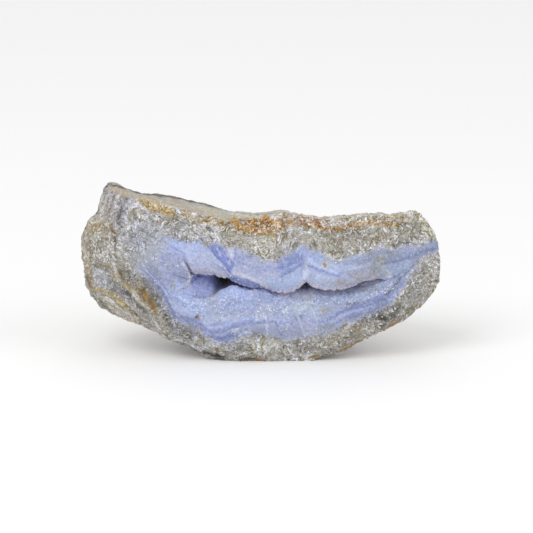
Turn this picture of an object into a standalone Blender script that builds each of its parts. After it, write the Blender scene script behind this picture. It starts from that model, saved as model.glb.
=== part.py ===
"""Blue holly agate: a broken chunk of banded chalcedony in a rind of sugary quartz.

The stone grew as one piece, so it is one closed body: a broken front face with a slit-like
hollow in it, a smooth top, a rough end on the left and a rounded back and belly. Its skin is
a stack of closed rings. The first ring lies deep in the hollow, the next ones come out over
the lips of the hollow and spread over the front face to its rim, then over the rim to the
outline that is seen from the front, and the last ones shrink over the back until they close.

Outlines are drawn as seen from the front, from SIGHT_TILT above the level, in steps of
PICTURE_STEP across and down. Depths are in millimetres behind the front plane.
"""

import math

import bmesh
import bpy
import numpy as np
from mathutils import Vector, noise

# Driving dimensions, in metres
STONE_LENGTH = 0.100
STONE_DEPTH = 0.035

# The drawing: its width over the stone, its centre and base line, and how far above the
# level the front is seen from
DRAWING_STEPS = 361.0
PICTURE_STEP = STONE_LENGTH / DRAWING_STEPS
DRAWING_CENTRE = 261.0
DRAWING_BASE = 361.0
SIGHT_TILT = math.radians(15.0)
MM = 0.001

# Rings of the skin
POINTS_PER_RUN = 28
HOLLOW_RINGS = 6
FACE_RINGS = 16
EDGE_RINGS = 8
BACK_RINGS = 13

# Outline of the stone, in four runs: left to top, top to right, right to bottom, bottom to
# left. Each point is across, down and depth.
OUTLINE = (
    ((80, 247, 17), (80, 235, 18), (87, 221, 18), (96, 211, 18), (99, 200, 18),
     (103, 188, 19), (107.5, 182, 20), (114, 182.5, 20), (124, 187, 20), (141, 193, 19),
     (163, 194, 19), (183, 198, 18), (206, 203.5, 16), (229, 212, 12)),
    ((253, 215, 7), (270, 213.5, 5), (284, 212, 4), (300, 218, 4), (320, 219, 4),
     (340, 218.5, 4), (355, 215.5, 5), (382, 215.5, 5), (393, 217.5, 5), (412, 212, 7),
     (420, 213.5, 8), (428, 222, 9), (434, 230, 10), (438, 242, 10)),
    ((440, 257, 10), (441, 267, 10), (440, 280, 10), (434.5, 291, 9), (427, 301.5, 9),
     (418, 310.5, 8), (403, 321.5, 8), (385, 331.5, 7), (369, 337, 7), (360, 343.5, 7),
     (340, 353, 6), (317, 359, 5), (296, 362, 5)),
    ((262, 364, 5), (241, 364.5, 5), (223, 360, 5), (206, 356.5, 6), (186, 346, 7),
     (172, 342, 7), (157, 334, 8), (137, 325, 10), (111, 314, 12), (97, 306, 14),
     (90, 297, 15), (85.5, 287, 16), (83, 275, 16), (82, 261, 17)),
)

# Rim of the broken front face, in the same four runs, across and down
RIM = (
    ((117, 250), (118, 234), (120, 220), (122, 208), (128, 197), (136, 199), (148, 202),
     (166, 206), (184, 211), (206, 216), (222, 220), (238, 222)),
    ((255, 221), (275, 219.5), (300, 222), (320, 224), (340, 223.5), (355, 220.5),
     (382, 220.5), (400, 221), (415, 219.5), (424, 228), (430, 242)),
    ((432, 257), (432, 268), (429, 281), (422, 293), (412, 303), (399, 314), (384, 323),
     (369, 329), (354, 337), (335, 345), (316, 351), (295, 355)),
    ((262, 356), (241, 356), (223, 352), (206, 347), (190, 339), (172, 331), (155, 318),
     (144, 305), (136, 296), (128, 286), (120, 276), (117, 264)),
)

# Mouth of the hollow: the upper lip in the first two runs, the lower one in the last two
MOUTH = (
    ((190, 280), (191, 273), (198, 274), (206, 275), (213, 274), (219, 277), (228, 278),
     (234, 282), (241, 286), (252, 287)),
    ((262, 287), (275, 293), (285, 294), (295, 291), (301, 286), (306, 282), (311, 286),
     (319, 289), (330, 291), (345, 289), (359, 284), (376, 279)),
    ((388, 279), (383, 285), (368, 293), (352, 299), (335, 303), (318, 305), (300, 306),
     (284, 306)),
    ((268, 301), (256, 295), (246, 290), (237, 286.5), (230, 286), (222, 289.5), (215, 295),
     (205, 298), (196, 296), (190, 289)),
)

# Inmost line of the hollow, left to right: across, down and depth behind the lip
HOLLOW_LINE = (
    ((195, 277, 3), (204, 274, 3.5), (211, 273, 5), (216, 272, 7.5), (221, 272, 12),
     (228, 274, 13), (235, 279, 9), (243, 283, 4), (252, 284.5, 2.5)),
    ((262, 284, 2.5), (276, 289.5, 2.5), (288, 290.5, 3), (299, 286, 4.5), (306, 280, 7),
     (312, 284, 5.5), (325, 287, 4.5), (345, 285.5, 4), (362, 280, 3.2), (376, 276, 2)),
)
HOLLOW_LINE_END = (384, 276, 1.5)
HOLLOW_LINE_GAP = 2.0

# How the floor of the hollow rises and how fast the hollow deepens, as powers of the share
# of the way from the mouth to the inmost line
FLOOR_RISE_POWER = 0.8
DEEPENING_POWER = 1.2

# Lumps and dips of the front face: across, down, half width, half height, lift in mm
FACE_LUMPS = (
    (209, 260, 17, 15, 1.6),
    (174, 270, 15, 17, 1.5),
    (286, 281, 16, 12, 1.6),
    (330, 279, 20, 10, 1.5),
    (366, 273, 20, 8, 1.0),
    (249, 262, 12, 10, 0.6),
    (232, 297, 13, 9, 1.4),
    (262, 324, 45, 9, 1.2),
    (350, 311, 40, 8, 0.9),
    (190, 311, 20, 10, 0.8),
    (220, 255, 7, 9, -1.0),
    (306, 272, 4, 11, -1.2),
    (204, 286, 12, 8, -1.2),
    (150, 222, 22, 10, 0.8),
    (196, 231, 16, 8, 0.7),
    (268, 236, 20, 9, 0.7),
    (334, 239, 18, 8, -0.7),
    (385, 232, 20, 8, 0.8),
    (418, 275, 9, 16, 0.8),
    (250, 348, 26, 6, 0.6),
    (330, 342, 18, 6, -0.5),
    (150, 292, 9, 14, -0.9),
)

# Lumps and dips of the end on the left, as above
END_LUMPS = (
    (107, 245, 9, 22, 1.6),
    (103, 276, 9, 9, -2.0),
    (112, 300, 16, 7, 1.4),
    (122, 214, 3.5, 12, -1.5),
    (114, 206, 6, 12, 1.0),
)

# Broken ledges of the front face and of the end: the line of each, how far the surface on
# its right hand lies back in mm, and over how many steps that dies away
FACE_LEDGES = (
    (((226, 270), (233, 274), (244, 278), (252, 281), (262, 286)), 1.3, 7.0),
    (((184, 287), (190, 283), (191, 277), (189, 272), (186, 264)), 1.4, 5.0),
    (((191, 325), (197, 330), (202, 337), (203, 344)), -0.9, 10.0),
    (((227, 269), (215, 256), (203, 242)), 0.8, 12.0),
)
END_LEDGES = (
    (((90, 257), (98, 261), (108, 266), (113, 276), (121, 280)), 2.0, 9.0),
    (((92, 288), (104, 292), (112, 295), (123, 303), (137, 316)), -1.2, 8.0),
    (((116, 244), (114, 236), (110, 226), (108, 212), (112, 198)), 1.0, 7.0),
)
LEDGE_EDGE_STEPS = 1.2

# Bow of the front face, in mm per step squared, and the rounding of its right end
BOW_ACROSS = 0.00013
BOW_DOWN = 0.00050
FACE_MIDDLE = (262.0, 288.0)
FACE_SETBACK = 1.5
RIGHT_ROUND_START = 375.0
RIGHT_ROUND_BOW = 0.0011

# Lips: how far the surface curls back at the mouth, and over how many steps
LIP_CURL_MM = 1.4
LIP_CURL_STEPS = 5.0
FLOOR_ROLL_MM = 1.5
FLOOR_ROLL_STEPS = 12.0

# The back: a rounded hump over its upper half and a nearly level keel under it. The rings
# turn by this angle from the outline to the back, and close to a slit across the stone.
BACK_TURN = math.radians(88.0)
BACK_SLOPE = 0.22
HUMP_SQUARENESS = 2.5
KEEL_SQUARENESS = 4.0
BACK_NARROWING = 0.45
BACK_MIDDLE = (0.0, 0.018, 0.020)

# Level of the worn foot under the belly, from the base line of the drawing
FOOT_LEVEL = -0.0014

# Flat breaks on the back: the way each one faces, and how far it lies from the middle
BREAKS = (
    ((0.15, 0.72, 0.68), 0.0185),
    ((-0.62, 0.75, 0.22), 0.0315),
    ((0.55, 0.62, -0.56), 0.0260),
    ((-0.08, 0.93, -0.36), 0.0155),
    ((0.70, 0.66, 0.28), 0.0310),
)

# Roughness of the skin
LUMP_SIZE = 0.0100
LUMP_LIFT = 0.0011
GRAIN_SIZE = 0.0055
GRAIN_LIFT = 0.0007
LIP_ROUGHNESS = 0.1
LIP_REACH_STEPS = 10.0
BLUE_ROUGHNESS = 0.2
EDGE_ROUGHNESS = 0.8
BACK_ROUGHNESS = 1.0

# Outline of the smooth blue lens on the front face, across and down
LENS_OVER = ((140, 268), (152, 254), (163, 240), (182, 241), (207, 246), (232, 247),
             (251, 256), (278, 262), (300, 247), (327, 259), (352, 256), (380, 248),
             (409, 247), (440, 240))
LENS_UNDER = ((140, 270), (152, 283), (161, 293), (170, 315), (197, 328), (224, 344),
              (253, 334), (283, 340), (316, 334), (346, 323), (382, 309), (404, 287),
              (420, 258), (440, 249))
LENS_BORDER_STEPS = 6.0


def walk_runs(runs, count):
    """Points at even steps along each run, which ends where the next run starts."""
    points = []
    for index, run in enumerate(runs):
        corners = np.array(run + (runs[(index + 1) % len(runs)][0],), dtype=float)
        legs = np.linalg.norm(np.diff(corners[:, :2], axis=0), axis=1)
        way = np.concatenate(([0.0], np.cumsum(legs)))
        steps = np.linspace(0.0, way[-1], count, endpoint=False)
        points.append(np.stack([np.interp(steps, way, column) for column in corners.T], 1))
    return np.concatenate(points)


def hollow_ring(count):
    """The inmost ring: out along the hollow's line and back just under it."""
    end = (HOLLOW_LINE_END,)
    left, right = HOLLOW_LINE
    back_right = end + tuple(reversed(right[1:]))
    back_left = (right[0],) + tuple(reversed(left[1:]))
    ring = walk_runs((left, right, back_right, back_left), count)
    ring[2 * count:, 1] += HOLLOW_LINE_GAP
    return ring


def lumps_depth(lumps, across, down):
    """Depth in mm of a set of rounded lumps, which stand towards the front."""
    depth = np.zeros_like(across)
    for middle_x, middle_y, half_x, half_y, lift in lumps:
        reach = ((across - middle_x) / half_x) ** 2 + ((down - middle_y) / half_y) ** 2
        depth -= lift * np.exp(-reach)
    return depth


def ledges_depth(ledges, across, down):
    """Depth in mm of a set of broken ledges, each a step that dies away from its line."""
    depth = np.zeros_like(across)
    for line, drop, fade in ledges:
        distance = np.full(across.shape, np.inf)
        side = np.ones(across.shape)
        for start, end in zip(line, line[1:]):
            leg_x, leg_y = end[0] - start[0], end[1] - start[1]
            from_x, from_y = across - start[0], down - start[1]
            share = (from_x * leg_x + from_y * leg_y) / (leg_x ** 2 + leg_y ** 2)
            share = np.clip(share, 0.0, 1.0)
            gap = np.hypot(from_x - share * leg_x, from_y - share * leg_y)
            side = np.where(gap < distance, np.sign(leg_x * from_y - leg_y * from_x), side)
            distance = np.minimum(gap, distance)
        rise = np.clip(distance * side / LEDGE_EDGE_STEPS, 0.0, 1.0)
        depth += drop * rise * np.exp(-distance / fade)
    return depth


def face_depth(across, down):
    """Depth in mm of the broken front face: a shallow bow with lumps and ledges on it."""
    middle_x, middle_y = FACE_MIDDLE
    depth = BOW_ACROSS * (across - middle_x) ** 2 + BOW_DOWN * (down - middle_y) ** 2
    depth += RIGHT_ROUND_BOW * np.maximum(across - RIGHT_ROUND_START, 0.0) ** 2
    depth += lumps_depth(FACE_LUMPS, across, down) + ledges_depth(FACE_LEDGES, across, down)
    return depth + FACE_SETBACK


def lens_share(across, down):
    """One inside the blue lens, nought outside it."""
    over = np.interp(across, *np.array(LENS_OVER, dtype=float).T)
    under = np.interp(across, *np.array(LENS_UNDER, dtype=float).T)
    depth_inside = np.minimum(down - over, under - down)
    inside = np.clip(depth_inside / LENS_BORDER_STEPS + 0.5, 0.0, 1.0)
    return np.where(across > LENS_OVER[0][0], inside, 0.0)


def place(across, down, depth):
    """Drawing steps and a depth in mm turned to metres: x to the right, z up."""
    x = (across - DRAWING_CENTRE) * PICTURE_STEP
    y = depth * MM
    up_the_drawing = (DRAWING_BASE - down) * PICTURE_STEP
    z = (up_the_drawing - y * math.sin(SIGHT_TILT)) / math.cos(SIGHT_TILT)
    return np.stack([x, y, z], axis=-1)


def front_rings():
    """Rings from the hollow to the outline, and how rough the skin is at each point."""
    core = hollow_ring(POINTS_PER_RUN)
    mouth = walk_runs(MOUTH, POINTS_PER_RUN)
    rim = walk_runs(RIM, POINTS_PER_RUN)
    outline = walk_runs(OUTLINE, POINTS_PER_RUN)
    over = np.zeros(len(mouth))
    over[1:2 * POINTS_PER_RUN] = 1.0

    def face_at(points, gap):
        curl = over * LIP_CURL_MM * np.exp(-(gap / LIP_CURL_STEPS) ** 2)
        roll = (1.0 - over) * FLOOR_ROLL_MM * np.exp(-(gap / FLOOR_ROLL_STEPS) ** 2)
        return face_depth(points[:, 0], points[:, 1]) + curl + roll

    span = np.linalg.norm(rim - mouth, axis=1)
    mouth_depth = face_at(mouth, np.zeros(len(mouth)))
    core_depth = mouth_depth + core[:, 2]
    rim_depth = face_at(rim, span)

    rings, roughness = [], []
    for share in np.linspace(1.0, 0.0, HOLLOW_RINGS, endpoint=False):
        rise = np.where(over > 0.5, share, share ** FLOOR_RISE_POWER)
        flat = mouth + (core[:, :2] - mouth) * rise[:, None]
        depth = mouth_depth + (core_depth - mouth_depth) * share ** DEEPENING_POWER
        rings.append(place(flat[:, 0], flat[:, 1], depth))
        roughness.append(np.full(len(flat), LIP_ROUGHNESS * (1.0 - share)))
    for share in np.linspace(0.0, 1.0, FACE_RINGS, endpoint=False):
        flat = mouth + (rim - mouth) * share
        rings.append(place(flat[:, 0], flat[:, 1], face_at(flat, span * share)))
        blue = lens_share(flat[:, 0], flat[:, 1])
        away = np.clip(span * share / LIP_REACH_STEPS, LIP_ROUGHNESS, 1.0)
        roughness.append(away * (1.0 - blue * (1.0 - BLUE_ROUGHNESS)))
    for share in np.linspace(0.0, 1.0, EDGE_RINGS):
        flat = rim + (outline[:, :2] - rim) * share
        depth = rim_depth + (outline[:, 2] - rim_depth) * share
        bulge = lumps_depth(END_LUMPS, flat[:, 0], flat[:, 1])
        bulge += ledges_depth(END_LEDGES, flat[:, 0], flat[:, 1])
        depth += bulge * math.sqrt(abs(math.sin(math.pi * share)))
        rings.append(place(flat[:, 0], flat[:, 1], depth))
        roughness.append(np.full(len(flat), EDGE_ROUGHNESS))
    return rings, roughness


def break_flat(points):
    """Bring the points that stand past a flat break back onto it."""
    for facing, distance in BREAKS:
        normal = np.array(facing) / np.linalg.norm(facing)
        past = (points - np.array(BACK_MIDDLE)) @ normal - distance
        points = points - np.maximum(past, 0.0)[:, None] * normal
    return points


def back_rings(outline_ring):
    """Rings from the outline over the back, which close to a slit across the stone."""
    middle_height = BACK_MIDDLE[2]
    rise = outline_ring[:, 2] - middle_height
    under = np.clip(-rise / middle_height, 0.0, 1.0) ** 0.5
    rings = []
    for turn in np.linspace(0.0, BACK_TURN, BACK_RINGS + 1)[1:]:
        way = math.sin(turn)
        hump = (1.0 - way ** HUMP_SQUARENESS) ** (1.0 / HUMP_SQUARENESS)
        hump *= 1.0 - BACK_SLOPE * way
        keel = (1.0 - way ** KEEL_SQUARENESS) ** (1.0 / KEEL_SQUARENESS)
        ring = np.empty_like(outline_ring)
        ring[:, 0] = outline_ring[:, 0] * (1.0 - BACK_NARROWING * way ** 3)
        ring[:, 1] = outline_ring[:, 1] + (STONE_DEPTH - outline_ring[:, 1]) * way
        ring[:, 2] = middle_height + rise * (hump + (keel - hump) * under)
        rings.append(break_flat(ring))
    return rings, [np.full(len(outline_ring), BACK_ROUGHNESS)] * len(rings)


def build_skin(rings):
    """Vertices ring by ring, with faces between the rings and across both end rings."""
    shape = bmesh.new()
    rows = [[shape.verts.new(point) for point in ring] for ring in rings]
    count = len(rows[0])
    for inner, outer in zip(rows, rows[1:]):
        for index in range(count):
            after = (index + 1) % count
            shape.faces.new((inner[index], inner[after], outer[after], outer[index]))
    for row in (rows[0], rows[-1]):
        for index in range(count // 2):
            corners = [row[index], row[index + 1], row[count - index - 1], row[-index]]
            shape.faces.new(dict.fromkeys(corners))
    bmesh.ops.recalc_face_normals(shape, faces=shape.faces)
    return shape


def roughen(shape, roughness):
    """Push each vertex along its normal by rounded lumps and by flat, tilted grains."""
    shape.normal_update()
    moves = []
    for vertex, rough in zip(shape.verts, roughness):
        lump = noise.fractal(vertex.co / LUMP_SIZE, 1.0, 2.0, 3)
        nearest = noise.voronoi(vertex.co / GRAIN_SIZE)[1][0]
        tilt = noise.cell_vector(nearest) * 2.0 - Vector((1.0, 1.0, 1.0))
        grain = (vertex.co / GRAIN_SIZE - nearest).dot(tilt)
        moves.append(vertex.normal * rough * (LUMP_LIFT * lump + GRAIN_LIFT * grain))
    for vertex, move in zip(shape.verts, moves):
        vertex.co += move


def seat(shape):
    """Wear the belly flat, and put the origin under the middle of the stone."""
    for vertex in shape.verts:
        vertex.co.z = max(vertex.co.z - FOOT_LEVEL, 0.0)
    low = Vector([min(vertex.co[axis] for vertex in shape.verts) for axis in range(3)])
    high = Vector([max(vertex.co[axis] for vertex in shape.verts) for axis in range(3)])
    middle = (low + high) / 2.0
    bmesh.ops.translate(shape, verts=shape.verts, vec=(-middle.x, -middle.y, 0.0))


def stone_material():
    """Weathered quartz and chalcedony: pale grey with a touch of blue, slightly waxy."""
    material = bpy.data.materials.new("chalcedony")
    material.use_nodes = True
    shader = material.node_tree.nodes["Principled BSDF"]
    shader.inputs["Base Color"].default_value = (0.40, 0.42, 0.50, 1.0)
    shader.inputs["Roughness"].default_value = 0.45
    shader.inputs["Metallic"].default_value = 0.0
    return material


def main():
    for old in list(bpy.data.objects):
        bpy.data.objects.remove(old, do_unlink=True)
    rings, roughness = front_rings()
    more_rings, more_roughness = back_rings(rings[-1])
    shape = build_skin(rings + more_rings)
    roughen(shape, np.concatenate(roughness + more_roughness))
    seat(shape)
    mesh = bpy.data.meshes.new("agate_chunk")
    shape.to_mesh(mesh)
    shape.free()
    mesh.shade_smooth()
    mesh.set_sharp_from_angle(angle=math.radians(40.0))
    mesh.materials.append(stone_material())
    chunk = bpy.data.objects.new("agate_chunk", mesh)
    bpy.context.scene.collection.objects.link(chunk)


main()
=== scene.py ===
"""Looks of a broken chunk of blue holly agate.

The chunk is one skin: closed rings that start deep in its hollow, come out over the lips,
spread over the broken front face, turn over its rim and close over the back. Fine relief,
broken crystal faces and the colours of each zone are worked out on that skin.
"""
import logging
import math
from dataclasses import dataclass, field
from enum import Enum

import bpy
import numpy as np
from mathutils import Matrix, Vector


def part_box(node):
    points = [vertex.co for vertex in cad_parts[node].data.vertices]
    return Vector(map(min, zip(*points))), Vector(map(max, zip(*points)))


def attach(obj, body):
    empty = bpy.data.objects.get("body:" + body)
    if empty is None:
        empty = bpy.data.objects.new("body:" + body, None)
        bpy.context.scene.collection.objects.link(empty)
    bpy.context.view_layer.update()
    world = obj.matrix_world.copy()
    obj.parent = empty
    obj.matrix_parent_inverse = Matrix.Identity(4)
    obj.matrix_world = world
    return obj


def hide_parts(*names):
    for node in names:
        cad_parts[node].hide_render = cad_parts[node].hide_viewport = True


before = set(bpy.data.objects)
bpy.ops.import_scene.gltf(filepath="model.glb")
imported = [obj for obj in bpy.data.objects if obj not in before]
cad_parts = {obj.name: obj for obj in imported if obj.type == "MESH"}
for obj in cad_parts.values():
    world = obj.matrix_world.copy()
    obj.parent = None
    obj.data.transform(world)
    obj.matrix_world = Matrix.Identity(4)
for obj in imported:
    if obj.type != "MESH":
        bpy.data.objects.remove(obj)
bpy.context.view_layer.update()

LOG = logging.getLogger("agate")

STONE_NODE = "agate_chunk"
ROOT_BODY = "root"
HOST_LAYER = "host_colour"
BLUE_LAYER = "chalcedony_colour"
MASK_LAYER = "sugar_lens_iron_bark"
MM = 0.001

Point = tuple[float, ...]
Path = tuple[Point, ...]
Runs = tuple[Path, ...]
Tint = tuple[float, float, float, float]
Ramp = tuple[float, ...]  # two levels, then the values at them if not nought and one
Array = np.ndarray


def linear(colour: str) -> Tint:
    """Turn an sRGB hex colour to the linear values that a shader takes.

    Args:
        colour: six hex digits after a hash mark.

    Returns:
        Red, green, blue and an alpha of one.
    """
    values = [int(colour[start:start + 2], 16) / 255.0 for start in (1, 3, 5)]
    bent = [v / 12.92 if v <= 0.04045 else ((v + 0.055) / 1.055) ** 2.4 for v in values]
    return (bent[0], bent[1], bent[2], 1.0)


def smooth_step(values: Array, low: float, high: float) -> Array:
    """Rise smoothly from nought at low to one at high."""
    share = np.clip((values - low) / (high - low), 0.0, 1.0)
    return share * share * (3.0 - 2.0 * share)


def trace(corners: str) -> Path:
    """Read a line of the drawing from its corners.

    Args:
        corners: for each corner its place across and down the drawing and, where it has
            one, its depth in mm, with commas between them and a space after the corner.

    Returns:
        The same as numbers.
    """
    return tuple(tuple(float(value) for value in corner.split(","))
                 for corner in corners.split())


@dataclass(frozen=True)
class Grains:
    """What a field of broken grains gives at each point.

    Attributes:
        height: height of the point on its grain's flat face, in grain sizes.
        seam: how far the point lies inside its grain from the next one.
        shade: the grain's shade, nought to one.
        facing: the unit direction that the grain's face tilts in.
    """

    height: Array
    seam: Array
    shade: Array
    facing: Array


@dataclass(frozen=True)
class Grit:
    """Seeded noise on a lattice, for lumps and for broken crystal grains.

    Attributes:
        seed: picks the random tables.
        table: how many entries each table has, a power of two.
        gain: brings the waves to about minus one to one.
        octave_shift: moves each finer octave, so that no lattice point is shared.
    """

    seed: int
    table: int = 256
    gain: float = 1.6
    octave_shift: float = 17.3

    def _tables(self) -> tuple[Array, Array, Array, Array]:
        """Draw the random tables.

        Returns:
            The lattice's order, unit directions, offsets in a cell and shades.
        """
        draw = np.random.default_rng(self.seed)
        order = draw.permutation(self.table)
        directions = draw.normal(size=(self.table, 3))
        directions /= np.linalg.norm(directions, axis=1, keepdims=True)
        offsets = draw.random((self.table, 3))
        shades = draw.random(self.table)
        return order, directions, offsets, shades

    def _index(self, order: Array, cells: Array) -> Array:
        """Mix the three cell numbers of each point into one place in the tables.

        Args:
            order: the lattice's order.
            cells: whole numbers, with x, y and z last.

        Returns:
            The place of each cell in the tables.
        """
        wrap = self.table - 1
        first = order[cells[..., 0] & wrap]
        second = order[(first + cells[..., 1]) & wrap]
        return order[(second + cells[..., 2]) & wrap]

    def _waves(self, points: Array) -> Array:
        """Gradient noise: slopes at the cell corners, blended smoothly between them.

        Args:
            points: places in cells, with x, y and z last.

        Returns:
            Heights of roughly minus one to one.
        """
        order, directions, _, _ = self._tables()
        cells = np.floor(points).astype(int)
        inside = points - cells
        blend = inside * inside * inside * (inside * (inside * 6.0 - 15.0) + 10.0)
        total = np.zeros(points.shape[:-1])
        for corner in np.ndindex(2, 2, 2):
            step = np.array(corner)
            slope = directions[self._index(order, cells + step)]
            weight = np.prod(np.where(step == 1, blend, 1.0 - blend), axis=-1)
            total += weight * np.sum(slope * (inside - step), axis=-1)
        return total * self.gain

    def lumps(self, points: Array, size: float, octaves: int = 3) -> Array:
        """Sum waves of a size, half that size and so on, each half as high.

        Args:
            points: places in metres, with x, y and z last.
            size: the largest wave in metres.
            octaves: how many sizes are summed.

        Returns:
            Heights of roughly minus one to one.
        """
        total = np.zeros(points.shape[:-1])
        for octave in range(octaves):
            shift = self.octave_shift * octave
            total += self._waves(points * 2.0 ** octave / size + shift) / 2.0 ** octave
        return total

    def grains(self, points: Array, size: float) -> Grains:
        """Break space into grains, each cut by one flat face with a tilt of its own.

        Args:
            points: places in metres, with x, y and z last.
            size: the usual grain in metres.

        Returns:
            The grains' heights, seams, shades and directions.
        """
        order, directions, offsets, shades = self._tables()
        scaled = points / size
        cells = np.floor(scaled).astype(int)
        nearest = np.full(points.shape[:-1], np.inf)
        second = nearest.copy()
        owner = np.zeros(points.shape[:-1], dtype=int)
        height = np.zeros(points.shape[:-1])
        for offset in np.ndindex(3, 3, 3):
            around = cells + np.array(offset) - 1
            index = self._index(order, around)
            away = scaled - (around + offsets[index])
            distance = np.linalg.norm(away, axis=-1)
            closer = distance < nearest
            second = np.where(closer, nearest, np.minimum(second, distance))
            height = np.where(closer, np.sum(away * directions[index], axis=-1), height)
            owner = np.where(closer, index, owner)
            nearest = np.where(closer, distance, nearest)
        return Grains(height, second - nearest, shades[owner], directions[owner])

    def splinters(self, points: Array, clump: float, size: float, slim: float) -> Grains:
        """Break space into clumps of long thin grains that all run one way in a clump.

        Space is shrunk along each clump's own direction, and grains are set in that space,
        so that they come out stretched.

        Args:
            points: places in metres, with x, y and z last.
            clump: the usual clump in metres.
            size: the thickness of a grain in metres.
            slim: nought for round grains, nearly one for needles.

        Returns:
            The long grains.
        """
        run = self.grains(points, clump).facing
        along = np.sum(points * run, axis=-1, keepdims=True)
        return self.grains(points - slim * along * run, size)


def path_distance(across: Array, down: Array, path: Path) -> tuple[Array, Array]:
    """Measure how far points of the drawing lie from a line of straight legs.

    Args:
        across: places across the drawing.
        down: places down the drawing.
        path: corners of the line.

    Returns:
        The distance to the nearest leg, and its side: one on the right hand of the line,
        which is below it where it runs to the right, and minus one on the left hand.
    """
    distance = np.full(across.shape, np.inf)
    side = np.ones(across.shape)
    for start, end in zip(path, path[1:]):
        leg_x, leg_y = end[0] - start[0], end[1] - start[1]
        from_x, from_y = across - start[0], down - start[1]
        length_squared = max(leg_x * leg_x + leg_y * leg_y, 1e-9)
        share = np.clip((from_x * leg_x + from_y * leg_y) / length_squared, 0.0, 1.0)
        gap = np.hypot(from_x - share * leg_x, from_y - share * leg_y)
        turn = leg_x * from_y - leg_y * from_x
        closer = gap < distance
        side = np.where(closer, np.where(turn >= 0.0, 1.0, -1.0), side)
        distance = np.where(closer, gap, distance)
    return distance, side


def depth_inside(across: Array, down: Array, outline: Path) -> Array:
    """Measure how far points lie inside a closed outline.

    Args:
        across: places across the drawing.
        down: places down the drawing.
        outline: its corners.

    Returns:
        The distance to the outline, less than nought outside it.
    """
    closed = outline + (outline[0],)
    inside = np.zeros(across.shape, dtype=bool)
    for start, end in zip(closed, closed[1:]):
        crosses = (start[1] > down) != (end[1] > down)
        rise = end[1] - start[1] if end[1] != start[1] else 1.0
        at = start[0] + (down - start[1]) * (end[0] - start[0]) / rise
        inside ^= crosses & (across < at)
    distance, _ = path_distance(across, down, closed)
    return np.where(inside, distance, -distance)


@dataclass(frozen=True)
class Drawing:
    """The view of the stone from the front, in which its outlines are drawn.

    Attributes:
        length: real length of the stone in metres.
        steps: the same length in drawing steps.
        centre: place across the drawing that lies over the origin.
        base: place down the drawing of the base line.
        tilt: how far above the level the stone is seen from.
    """

    length: float = 0.100
    steps: float = 361.0
    centre: float = 261.0
    base: float = 361.0
    tilt: float = math.radians(15.0)

    @property
    def step(self) -> float:
        """One drawing step in metres."""
        return self.length / self.steps

    def place(self, across: Array, down: Array, depth: Array) -> Array:
        """Turn places in the drawing to metres, with x to the right and z up.

        Args:
            across: places across the drawing.
            down: places down the drawing.
            depth: depths in mm behind the plane that the drawing stands in.

        Returns:
            The places in metres, with x, y and z last.
        """
        x = (across - self.centre) * self.step
        y = depth * MM
        up = (self.base - down) * self.step
        z = (up - y * math.sin(self.tilt)) / math.cos(self.tilt)
        return np.stack(np.broadcast_arrays(x, y, z), axis=-1)


@dataclass(frozen=True)
class Lump:
    """A rounded swelling that stands towards the front, or a dip if its lift is negative.

    Its middle and its half widths are in steps of the drawing and its lift is in mm.
    """

    across: float
    down: float
    half_width: float
    half_height: float
    lift: float

    def depth(self, across: Array, down: Array) -> Array:
        """A bell over the drawing.

        Args:
            across: places across the drawing.
            down: places down the drawing.

        Returns:
            Depths in mm behind the surface that carries it.
        """
        reach = ((across - self.across) / self.half_width) ** 2
        reach += ((down - self.down) / self.half_height) ** 2
        return -self.lift * np.exp(-reach)


@dataclass(frozen=True)
class Ledge:
    """A broken step: the surface on the right hand of its line lies back by a drop in mm.

    The slope is some steps wide, and the drop dies away over a few times its fade.
    """

    path: str
    drop: float
    fade: float = 8.0
    edge: float = 1.2

    def depth(self, across: Array, down: Array) -> Array:
        """The drop right behind the line, dying away with distance from it.

        Args:
            across: places across the drawing.
            down: places down the drawing.

        Returns:
            Depths in mm behind the surface that carries it.
        """
        distance, side = path_distance(across, down, trace(self.path))
        rise = smooth_step(distance * side, 0.0, self.edge)
        return self.drop * rise * np.exp(-distance / self.fade)


@dataclass(frozen=True)
class Groove:
    """A crack with a depth in mm and a width in steps, or a vein if its cut is negative."""

    path: str
    width: float
    cut: float

    def depth(self, across: Array, down: Array) -> Array:
        """A bell across the line, in mm."""
        distance, _ = path_distance(across, down, trace(self.path))
        return self.cut * np.exp(-(distance / self.width) ** 2)


class Spread(Enum):
    """How a stain or a tint lies on the grains below it."""

    EVEN = "even"
    SPECKS = "specks"
    SEAMS = "seams"


@dataclass(frozen=True)
class Patterns:
    """The broken grains and clouds on the skin, which the broad colours follow.

    Attributes:
        splinters: long thin crystals that run one way within a clump.
        coarse: round grains, a few times as wide.
        cloud: lumps of a few millimetres, about minus one to one.
        wide_cloud: lumps of a centimetre.
        warm_cloud: other lumps of a few millimetres, for the hue.
        spreads: for each way to lie on the grains, how much stays there, nought to one.
    """

    splinters: Grains
    coarse: Grains
    cloud: Array
    wide_cloud: Array
    warm_cloud: Array
    spreads: dict[Spread, Array]


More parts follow.
